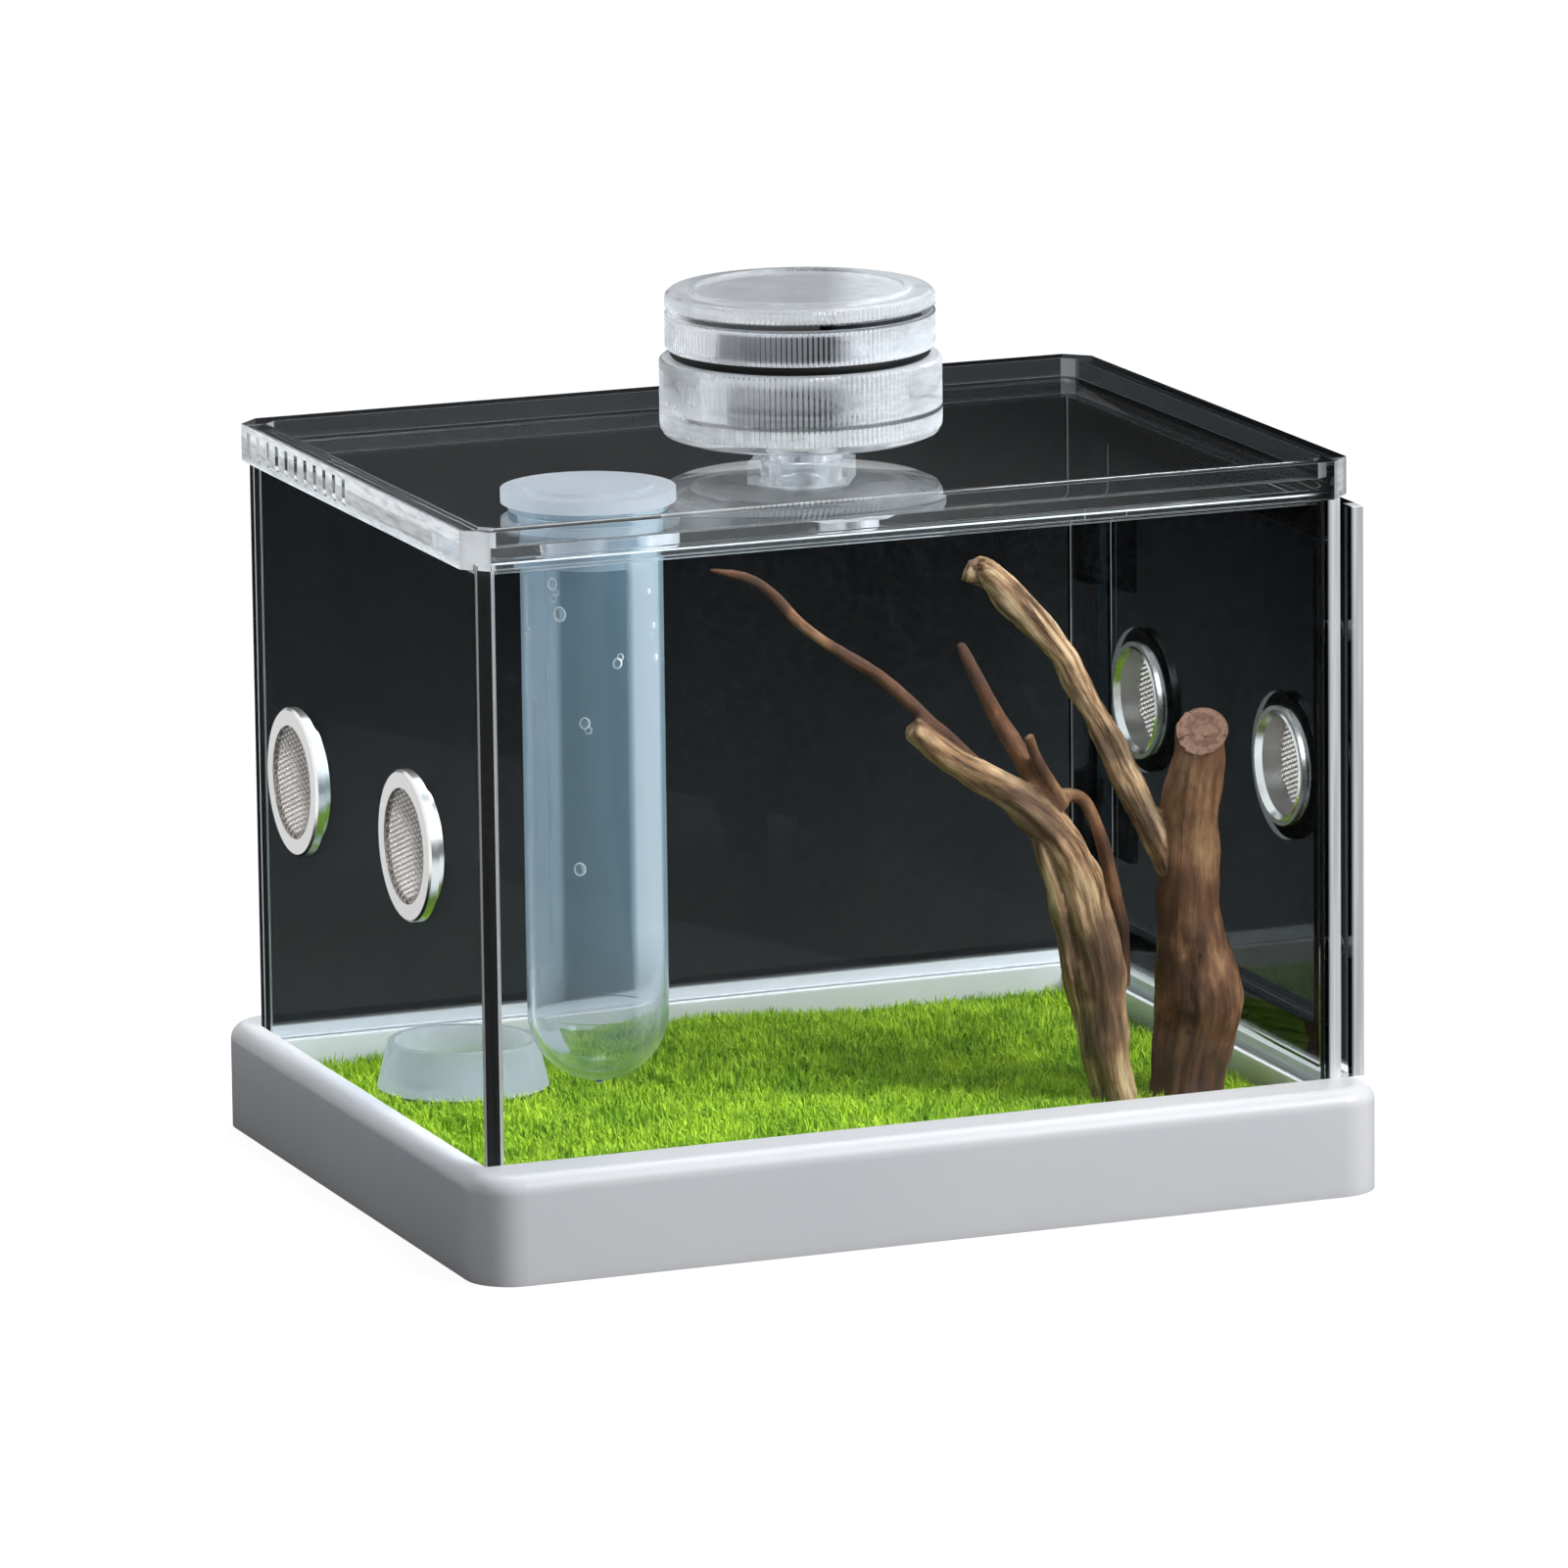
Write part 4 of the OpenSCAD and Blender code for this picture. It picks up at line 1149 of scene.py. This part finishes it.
def bark_finish(name):
    finish, root = new_finish(name)
    grain = root.make("Attribute", {"attribute_name": GRAIN}, out="Vector")
    tone = root.make("Attribute", {"attribute_name": TONE}, out="Fac")
    cut = root.make("Attribute", {"attribute_name": CUT}, out="Fac")
    streak = cloud(root, grain, 0.9, 6.0, 0.62)
    fine = cloud(root, grain, 3.2, 4.0, 0.7)
    stain = cloud(root, spot(root), 0.07, 3.0)
    blotch = cloud(root, spot(root, stretch=(1, 1, 0.5)), 0.12, 5.0, 0.6)
    calm = (tone * 1.05).grey(0, 1)
    marks = (streak - 0.5) * (1 - calm) * 1.7 + (blotch - 0.5) * calm * 1.2 + 0.5
    reddish = (tone + (stain - 0.5) * 0.9).grey(0.2, 0.8)
    bark = reddish.blend(marks.ramp(*BARK_TAN), marks.ramp(*BARK_RED))
    old = (stain.grey(0.46, 0.60) * 0.65).blend(bark, STAIN)
    show(root.make("BsdfPrincipled", sockets={
        "Base Color": cut.blend(old, sawn_colour(root, grain)),
        "Roughness": 0.62 + fine * 0.25,
        "Normal": bump(fine * 0.6 + streak * 0.4, 0.35),
    }))
    return finish


driftwood_bark = bark_finish("driftwood_bark")
print("bark finish:", len(driftwood_bark.node_tree.nodes), "nodes")

# %% [markdown]
# ## Grain along the branches
# Each vertex looks for the nearest point of any branch. The way along that branch and the vector
# from its axis are kept, and they steer the grooves and the streaks of colour, so that both
# follow the bends. Where the skin is an end face, the same search sees it, because the vertex
# lies past the end of its branch.

# %% Grain along the branches
FIRST_GAP = 1e9
SLOW_ALONG = 0.09
APART = 7.0


def nearest_branch(spots, curves):
    """Of each spot: its branch, the way along, the vector from the axis, how far past the end."""
    best = np.full(len(spots), FIRST_GAP)
    kind = np.zeros(len(spots), int)
    way = np.zeros(len(spots))
    arm = np.zeros((len(spots), 3))
    past = np.zeros(len(spots))
    for b, curve in enumerate(curves):
        centre, radius = curve[:, :3], curve[:, 3]
        lengths = np.r_[0, np.cumsum(np.linalg.norm(np.diff(centre, axis=0), axis=1))]
        for i in range(len(centre)):
            offset = spots - centre[i]
            gap = np.linalg.norm(offset, axis=1) - radius[i]
            closer = gap < best
            along = centre[min(i + 1, len(centre) - 1)] - centre[max(i - 1, 0)]
            along = along / np.linalg.norm(along)
            ahead = np.clip(offset[closer] @ along, -SWEEP_STEP, SWEEP_STEP)
            best[closer], kind[closer], way[closer] = gap[closer], b, lengths[i] + ahead
            arm[closer] = offset[closer] - ahead[:, None] * along
            last = i == len(centre) - 1
            past[closer] = (offset[closer] @ along) / radius[i] if last else 0
    return kind, way, arm, past


def grain_of(arm, way, kind):
    """The place in the grain: across the branch, and slowly along it, apart for each branch."""
    lengthwise = way * SLOW_ALONG + APART * kind
    return np.column_stack([arm[:, 0], arm[:, 1] + arm[:, 2] * 0.3, lengthwise])


print("grain: a change 1 mm wide is", round(1 / SLOW_ALONG), "mm long")

# %% [markdown]
# ## Sawn trunk
# The right trunk was cut with a saw at a slant, and its flat face looks up and to the front. The
# tube is first made too long. Then every vertex that stands above the saw's plane is lowered onto
# it, which makes a clean flat face without cutting the mesh open.

# %% Sawn trunk
SAW_AT = Vector((63.5, -30, 63.5 + TURF_LEVEL))
SAW_FACES = Vector((-0.21, -0.53, 0.82))


def saw_off(spots, chosen):
    """Lowers the chosen spots that stand above the saw's plane onto it, and tells which."""
    above = (spots - np.array(SAW_AT)) @ np.array(SAW_FACES)
    over = chosen & (above > 0)
    spots[over, 2] -= above[over] / SAW_FACES.z
    return over


print("the sawn face slopes by", round(math.degrees(SAW_FACES.angle(Vector((0, 0, 1))))), "degrees")

# %% [markdown]
# ## Bark relief
# Every vertex moves in or out by three noises: grooves along the grain, fine fibres along it and
# knots that ignore it. Red bark is smoother than tan wood. A displacement in the material could do
# it too, but moved vertices are part of the mesh itself.

# %% Bark relief
GROOVES = 0.7
KNOTS = 0.75
FIBRES = 0.3
KNOT_SHIFT = Vector((3.1, 7.7, 0))


def bark_relief(spots, grain, tones):
    """How far each spot moves outwards, in millimetres."""
    move = np.zeros(len(spots))
    for i in range(len(spots)):
        groove = noise.noise(Vector(grain[i]) * 0.8)
        knot = noise.noise(Vector(spots[i]) * 0.16 + KNOT_SHIFT)
        fibre = noise.noise(Vector(grain[i]) * 2.4)
        rugged = 1 - 0.6 * tones[i]
        move[i] = GROOVES * rugged * groove + KNOTS * knot + FIBRES * rugged * fibre
    return move


print("bark relief: grooves", GROOVES, "mm, knots", KNOTS, "mm, fibres", FIBRES, "mm")

# %% [markdown]
# ## Two sticks
# Both sticks go through the same steps: tubes, one skin, grain, the saw, and the relief, which is
# weaker on thin twigs and on sawn faces. The grain, the tone and the sawn faces are stored on
# the mesh for the material. The foot of each stick stands a little way down in the turf.

# %% Two sticks
BURIED = 1.5


def store(mesh, label, kind_of, values):
    """Keeps a value of every vertex under a label, for the material."""
    layer = mesh.attributes.new(label, kind_of, "POINT")
    layer.data.foreach_set("vector" if kind_of == "FLOAT_VECTOR" else "value", values.ravel())


def vertex_data(mesh, label):
    """The places or the normals of all vertices, one in a row."""
    values = np.empty(len(mesh.vertices) * 3)
    mesh.vertices.foreach_get(label, values)
    return values.reshape(-1, 3)


def driftwood(name, rows, sawn=None):
    curves = [smooth_row(row) for tone, row in rows.values()]
    mesh = joined_tubes(curves)
    spots = vertex_data(mesh, "co") / MM
    normals = vertex_data(mesh, "normal")
    kind, way, arm, past = nearest_branch(spots, curves)
    tones = np.array([tone for tone, row in rows.values()])[kind]
    grain = grain_of(arm, way, kind)
    cut = np.clip((past - 0.05) * 20, 0, 1) * (np.abs(normals[:, 2]) > 0.2)
    if sawn is not None:
        over = saw_off(spots, kind == sawn)
        cut[kind == sawn] = 0
        cut[over] = 1
    slender = np.clip(np.linalg.norm(arm, axis=1) / 3, 0.25, 1)
    move = bark_relief(spots, grain, tones) * (1 - 0.8 * cut) * slender
    spots += normals * move[:, None]
    spots[:, 2] = np.maximum(spots[:, 2], TURF_LEVEL - BURIED)
    mesh.vertices.foreach_set("co", (spots * MM).ravel())
    store(mesh, GRAIN, "FLOAT_VECTOR", grain)
    store(mesh, TONE, "FLOAT", tones)
    store(mesh, CUT, "FLOAT", cut)
    mesh.materials.clear()
    mesh.materials.append(driftwood_bark)
    mesh.shade_smooth()
    piece = bpy.data.objects.new(name + "_bark", mesh)
    bpy.context.scene.collection.objects.link(piece)
    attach(piece, "base")
    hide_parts(name)
    print(piece.name, len(spots), "points")


driftwood("driftwood_left", LEFT_WOOD)
driftwood("driftwood_right", RIGHT_WOOD, sawn=0)

# %% [markdown]
# ## Woven mesh
# Each vent holds a disc of fine wire cloth, laid on the bias. Two sets of wires cross at right
# angles, and each wire goes over one and under the next, as a sine curve does. A bump pattern
# would be cheaper, but it would neither let light through nor show an edge.

# %% Woven mesh
WIRE_PITCH = 0.85
WIRE_RADIUS = 0.2
WEAVE_TURN = math.radians(70)
WIRE_SIDES = 4


def wire(points, faces, start, end, axis_out, weave):
    """A round wire from start to end that weaves along axis_out."""
    length = (end - start).length
    steps = max(2, int(length / (WIRE_PITCH / 2)))
    along = (end - start).normalized()
    side = along.cross(axis_out)
    first = len(points)
    for i in range(steps + 1):
        t = i / steps
        here = start.lerp(end, t)
        lift = 0.5 * WIRE_RADIUS * weave(here)
        for k in range(WIRE_SIDES):
            angle = 2 * math.pi * (k + 0.5) / WIRE_SIDES
            outward = (lift + WIRE_RADIUS * math.sin(angle)) * axis_out
            points.append(here + outward + WIRE_RADIUS * math.cos(angle) * side)
    for i in range(steps):
        for k in range(WIRE_SIDES):
            a = first + i * WIRE_SIDES + k
            b = first + i * WIRE_SIDES + (k + 1) % WIRE_SIDES
            faces.append((a, b, b + WIRE_SIDES, a + WIRE_SIDES))
    faces.append(tuple(first + k for k in range(WIRE_SIDES - 1, -1, -1)))
    faces.append(tuple(first + steps * WIRE_SIDES + k for k in range(WIRE_SIDES)))


def woven_disc(node, body):
    low, high = span(node)
    centre = (low + high) / 2
    radius = (high.y - low.y) / 2
    out = Vector((1, 0, 0))
    one = Vector((0, math.cos(WEAVE_TURN), math.sin(WEAVE_TURN)))
    two = Vector((0, -math.sin(WEAVE_TURN), math.cos(WEAVE_TURN)))
    rows = int(radius / WIRE_PITCH)
    points, faces = [], []
    for direction, across, turn in ((one, two, 0), (two, one, 1)):
        for row in range(-rows, rows + 1):
            offset = row * WIRE_PITCH
            half = math.sqrt(radius**2 - offset**2)
            middle = centre + offset * across

            def weave(here, middle=middle, direction=direction, row=row, turn=turn):
                way = (here - middle).dot(direction) / WIRE_PITCH
                return math.cos(math.pi * (way + row + turn))

            wire(points, faces, middle - half * direction, middle + half * direction, out, weave)
    add_piece(
        node.replace("vent_mesh", "wire_cloth"), points, faces, wire_steel, body,
        sharp=80, stands_for=(node,)
    )


for side in ("rear", "front"):
    woven_disc(f"vent_mesh_left_{side}", "base")
    woven_disc(f"vent_mesh_door_{side}", "door")

# %% [markdown]
# ## Knurl and thread
# The feeder's cup and cap are turned with a fine straight knurl, about one ridge a millimetre.
# The construction has coarser ridges, so both are made again here as turned outlines whose
# radius rises and falls with the angle. Under the cap runs a screw thread, a ridge that climbs
# by its pitch in each turn. One helper does both, because both are a radius that the angle sets.

# %% Knurl and thread
RIDGES = 160
RIDGE_DEPTH = 0.45
PER_RIDGE = 3
THREAD_PITCH = 3.0
THREAD_DEPTH = 0.45
feeder_centre = (cap_low + cap_high) / 2
cup_radius = (cup_high.x - cup_low.x) / 2
cap_radius = (cap_high.x - cap_low.x) / 2


def knurled(node, profile, ridged, finish, body, threaded=()):
    """A lathe piece in a node's place, with ridges or a thread on the listed profile points."""

    def radius_at(i, k, radius, height):
        if i in ridged:
            return radius - RIDGE_DEPTH * (k % PER_RIDGE) / (PER_RIDGE - 1)
        if i in threaded:
            turn = (height - cup_low.z) / THREAD_PITCH - k / (RIDGES * PER_RIDGE)
            return radius - THREAD_DEPTH * 0.5 * (1 + math.cos(2 * math.pi * turn))
        return radius

    points, faces = lathe(profile, feeder_centre, RIDGES * PER_RIDGE, radius_at)
    add_piece(
        node + "_knurled", points, faces, finish, body,
        sharp=25, stands_for=(node,)
    )


print("one ridge every", round(2 * math.pi * cup_radius / RIDGES, 2), "mm")

# %% [markdown]
# ## Feeder cup
# The cup is a shallow dish with a wall, turned on top of a hollow neck that goes down through
# the lid. It carries the thread on a spigot, a narrower ring above the knurled wall. Its outline
# is written from the bore's foot, out and up, and back down the inside, and every step in it is
# a distance from a radius or a height of the construction.

# %% Feeder cup
PANEL_DOWN = 3.2
STUB_RADIUS = 5.5
NECK_RADIUS = 7.0
BORE_RADIUS = 3.75
CUP_CORNER = 2.2
SEAL_GAP = 0.05
THREAD_STEPS = 17
seal_radius = (seal_high.x - seal_low.x) / 2
spigot_radius = seal_radius - (seal_high.z - seal_low.z) - SEAL_GAP
lid_top = span("lid")[1].z


def cup_profile():
    """The cup's outline, and which of its points carry the knurl and the thread."""
    wall_top = seal_low.z - SEAL_GAP
    wall_low = wall_top - CUP_WALL
    panel = lid_top - PANEL_DOWN
    foot = [
        (4.0, cup_low.z), (5.2, cup_low.z), (STUB_RADIUS, cup_low.z + 0.3), (STUB_RADIUS, panel),
    ]
    neck = [
        (6.8, panel), (NECK_RADIUS, panel + 0.2), (NECK_RADIUS, wall_low - 0.6), (7.6, wall_low),
    ]
    round_edge = [
        (
            cup_radius - CUP_CORNER + CUP_CORNER * math.sin(a),
            wall_low + CUP_CORNER - CUP_CORNER * math.cos(a),
        )
        for a in (0, 0.25 * math.pi, 0.42 * math.pi)
    ]
    wall = [
        (cup_radius, wall_low + 2.6), (cup_radius, wall_top - 0.5), (cup_radius - 0.5, wall_top),
    ]
    shoulder = [(spigot_radius, wall_top)]
    thread = [(spigot_radius, wall_top + 0.5 + 0.25 * i) for i in range(THREAD_STEPS)]
    mouth = [
        (spigot_radius - 0.3, cup_high.z), (spigot_radius - 1.9, cup_high.z),
        (spigot_radius - 2.1, cup_high.z - 0.3),
    ]
    inside = [
        (spigot_radius - 2.1, wall_low + 4.0), (spigot_radius - 3.1, wall_low + 3.0),
        (4.2, wall_low + 3.0), (BORE_RADIUS, wall_low + 2.6), (BORE_RADIUS, cup_low.z + 0.3),
    ]
    profile = foot + neck + round_edge + wall + shoulder + thread + mouth + inside
    first = len(foot + neck + round_edge)
    first_thread = first + len(wall) + len(shoulder)
    return profile, {first, first + 1}, range(first_thread + 1, first_thread + THREAD_STEPS - 1)


outline, ridged, threaded = cup_profile()
knurled("feeder_cup", outline, ridged, cup_plastic, "lid", threaded)

# %% [markdown]
# ## Feeder cap
# The cap is a low lid with a groove turned near its top edge, a raised ring on its top face and a
# threaded bore. The groove parts the knurl into a high band and a narrow one. The outline runs
# from the mouth up the outside and down the inside, as the cup's does.

# %% Feeder cap
GROOVE_AT = 0.62
GROOVE_DEPTH = 0.75
BORE_PLAY = 0.3


def cap_profile():
    """The cap's outline, and which of its points carry the knurl."""
    top = cap_low.z + CAP_WALL
    groove = cap_low.z + CAP_WALL * GROOVE_AT
    bottom_of_groove = cap_radius - GROOVE_DEPTH
    rise = top - 0.9
    bore = spigot_radius + BORE_PLAY
    outside = [
        (cap_radius - 0.3, cap_low.z), (cap_radius, cap_low.z + 0.3), (cap_radius, groove),
        (bottom_of_groove, groove + 0.1), (bottom_of_groove, groove + 1.0),
        (cap_radius, groove + 1.1), (cap_radius, rise), (cap_radius - 0.35, rise + 0.5),
        (cap_radius - 0.9, top),
    ]
    ring = [
        (cap_radius - 4.0, top), (cap_radius - 4.1, cap_high.z - 0.1),
        (cap_radius - 4.4, cap_high.z), (cap_radius - 5.2, cap_high.z), (cap_radius - 5.5, top),
        (0.2, top),
    ]
    inside = [(0.2, top - 2.2), (spigot_radius - 0.6, top - 2.2), (bore, top - 3.1)]
    thread = [(bore, top - 3.4 - 0.3 * i) for i in range(THREAD_STEPS - 1)]
    mouth = [(bore, cap_low.z + 0.2), (spigot_radius + 0.5, cap_low.z)]
    return outside + ring + inside + thread + mouth, {1, 2, 5, 6}


outline, ridged = cap_profile()
knurled("feeder_cap", outline, ridged, cap_plastic, "cap")

# %% [markdown]
# ## Water
# A drop on the tube is a small lens: its middle is clear and its rim is bright, because the rim
# sends light from the side to the eye. Here the bright rim is a painted highlight: a Layer Weight
# node tells the rim from the middle from any side, and white dull water is mixed in there.

# %% Water
WATER_IOR = 1.33


def drop_finish():
    """Water that is clear in the middle of a drop, with a painted white highlight at its rim."""
    finish, root = new_finish("water")
    ripples = cloud(root, spot(root), 0.8, 2.0)
    glass = clear_shader(root, CLEAR, 0.0, WHITE, WATER_IOR, Normal=bump(ripples, 0.01))
    lit = root.make("BsdfDiffuse", sockets={"Color": WHITE})
    # Painted highlight: white dull water mixed in at the rim
    rim = root.make("LayerWeight", sockets={"Blend": 0.5}, out="Facing").grey(0.12, 0.4)
    show(lamps_pass(rim.over(glass, both_ways(root, lit, WHITE, 0.3))))
    return finish


water = drop_finish()
print("water:", len(water.node_tree.nodes), "nodes")

# %% [markdown]
# ## Drops on the tube
# A few drops cling to the water tube. Each is placed by how far it stands to the side, as a share
# of the tube's radius, and by its height, and its size follows. A drop on an upright wall is flat
# towards the wall and a little longer than wide, so a ball is squeezed and stretched for it.

# %% Drops
DROPS = [
    (-0.54, 112.0, 0.75), (-0.52, 109.6, 0.45), (-0.44, 107.0, 0.95), (-0.89, 102.6, 0.8),
    (-0.47, 110.6, 0.35), (0.36, 98.6, 0.7), (0.40, 99.6, 0.5), (-0.11, 88.6, 0.75),
    (-0.06, 87.4, 0.5), (-0.21, 63.6, 0.85), (0.89, 98.4, 0.5), (0.86, 104.0, 0.45),
    (0.80, 110.0, 0.4), (-0.80, 92.0, 0.35),
]
TUBE_RADIUS = 12.0
DROP_GROWTH = 1.2
DROP_SHAPE = (0.5, 1, 1.15, 1)
tube_low, tube_high = span("water_tube")
tube_centre = (tube_low + tube_high) / 2


def drops():
    """All drops as one mesh, each a flattened ball that looks away from the tube."""
    shape = bmesh.new()
    toward = Vector((back.x, back.y, 0)).normalized()
    for side, height, size in DROPS:
        size = size * DROP_GROWTH
        outward = side * level + math.sqrt(1 - side**2) * toward
        middle = Vector((tube_centre.x, tube_centre.y, height)) + (TUBE_RADIUS - 0.1) * outward
        angle = math.atan2(outward.y, outward.x)
        turned = Matrix.Rotation(angle, 4, "Z") @ Matrix.Diagonal(DROP_SHAPE)
        bmesh.ops.create_icosphere(
            shape, subdivisions=3, radius=size, matrix=Matrix.Translation(middle) @ turned
        )
    points = [tuple(v.co) for v in shape.verts]
    faces = [tuple(v.index for v in face.verts) for face in shape.faces]
    shape.free()
    add_piece("tube_drops", points, faces, water, "tube", sharp=180)


drops()
print("drops:", len(DROPS))

# %% [markdown]
# ## Pale room
# The photograph has a plain white ground. For the camera, and in reflections and through glass,
# the floor and the world show as white, while they light the object only as much as a room does,
# and the floor still takes the object's shadow. A Light Path node tells the two uses apart, so
# that no lamp has to be turned up to burn the floor out.

# %% Pale room
WORLD_LIGHT = 0.25
FLOOR_GLOW = 0.92
FLOOR_SIZE = 4000
FLOOR_DOWN = -0.05


def seen_directly(root):
    """1 for rays that bring an image: from the camera, in a reflection or through glass."""
    camera_ray = root.make("LightPath", out="Is Camera Ray")
    glossy_ray = root.make("LightPath", out="Is Glossy Ray")
    through_ray = root.make("LightPath", out="Is Transmission Ray")
    scattered = root.make("LightPath", out="Diffuse Depth") > 0.5
    image = camera_ray.math("MAXIMUM", glossy_ray.math("MAXIMUM", through_ray))
    return image * (1 - scattered)


def world_light():
    world = bpy.data.worlds.new("studio")
    bpy.context.scene.world = world
    world.use_nodes = True
    world.node_tree.nodes.clear()
    root = Shade(world.node_tree)
    strength = seen_directly(root) * (1 - WORLD_LIGHT) + WORLD_LIGHT
    sky = root.make("Background", sockets={"Color": WHITE, "Strength": strength})
    sky.make("OutputWorld", sockets={"Surface": sky}, out=None)


def stage_sheet(name, corners, finish):
    """A flat four-cornered sheet for the studio."""
    mesh = bpy.data.meshes.new(name)
    mesh.from_pydata([(x * MM, y * MM, z * MM) for x, y, z in corners], [], [(0, 1, 2, 3)])
    mesh.materials.append(finish)
    sheet = bpy.data.objects.new(name, mesh)
    bpy.context.scene.collection.objects.link(sheet)
    return sheet


def paper_shader(root, colour):
    """A dull surface without any gloss."""
    sockets = {"Base Color": colour, "Roughness": 1.0, "Specular IOR Level": 0.0}
    return root.make("BsdfPrincipled", sockets=sockets)


def floor():
    finish, root = new_finish("floor_paper")
    fibre = cloud(root, spot(root), 0.05, 4.0)
    paper = paper_shader(root, fibre.blend((0.19, 0.19, 0.19, 1), (0.22, 0.22, 0.22, 1)))
    strength = seen_directly(root) * FLOOR_GLOW
    glow = root.make("Emission", sockets={"Color": WHITE, "Strength": strength})
    show(root.make("AddShader", sockets={0: paper, 1: glow}))
    signs = ((-1, -1), (1, -1), (1, 1), (-1, 1))
    corners = [(x * FLOOR_SIZE, y * FLOOR_SIZE, FLOOR_DOWN) for x, y in signs]
    stage_sheet("floor", corners, finish)


bpy.context.scene.view_settings.view_transform = "Standard"
world_light()
floor()
print("pale room: the world lights at", WORLD_LIGHT)

# %% [markdown]
# ## Black cards
# Polished plastic shows whatever stands around it. In the photograph that was dark, so three
# black cards stand outside the picture, as in a photographer's studio: at the right, behind and
# above the lid, and one on the floor. They show only in reflections. For every other ray their
# material is transparent, so that they neither shade the object nor show through it.

# %% Black cards
FELT = ((0.004, 0.004, 0.004, 1), (0.008, 0.009, 0.01, 1))


def black_card(name, across, depth, height, through_glass=False):
    """A card between two places across and along the camera's view, and between two heights."""
    finish, root = new_finish(name)
    felt = cloud(root, spot(root), 0.2, 3.0)
    mirrored = root.make("LightPath", out="Glossy Depth") > 0.5
    window = root.make("BsdfTransparent", sockets={"Color": WHITE})
    show(mirrored.over(window, paper_shader(root, felt.blend(*FELT))))
    ahead = Vector((-back.x, -back.y, 0)).normalized()
    far_side = 1 if height[0] == height[1] else 0
    corners = []
    for side, along, z in (
        (across[0], depth[0], height[0]), (across[1], depth[1 - far_side], height[0]),
        (across[1], depth[1], height[1]), (across[0], depth[far_side], height[1]),
    ):
        spot_on_floor = side * level + along * ahead
        corners.append((spot_on_floor.x, spot_on_floor.y, z))
    card = stage_sheet(name, corners, finish)
    card.visible_camera = False
    card.visible_diffuse = False
    card.visible_transmission = through_glass
    card.visible_shadow = False
    print(name, "between the heights", height)


black_card("card_right", (152, 152), (-500, 120), (0, 160), through_glass=True)
black_card("card_above", (-400, 400), (420, 420), (140, 700), through_glass=True)
black_card("card_below", (-152, 152), (-500, 500), (-0.03, -0.03))

# %% [markdown]
# ## Lamps
# The photograph was lit softly from the front and above, with a weaker light from behind. Two
# large square lamps do it, because large lamps give soft shadows. Their power is such that a
# colour comes out of the render about as it is written.

# %% Lamps
LAMP_SIZE = 500
AIM = Vector((0, 0, 60))


def softbox(name, place, power):
    """A square lamp that looks at the middle of the box."""
    lamp = bpy.data.lights.new(name, "AREA")
    lamp.size = LAMP_SIZE * MM
    lamp.energy = power
    holder = bpy.data.objects.new(name, lamp)
    holder.location = Vector(place) * MM
    toward = AIM - Vector(place)
    holder.rotation_euler = toward.to_track_quat("-Z", "Y").to_euler()
    bpy.context.scene.collection.objects.link(holder)
    print(name, "lamp", round(toward.length), "mm away")


softbox("key", (800, -800, 820), 14.5)
softbox("top", (250, 400, 1100), 4.5)
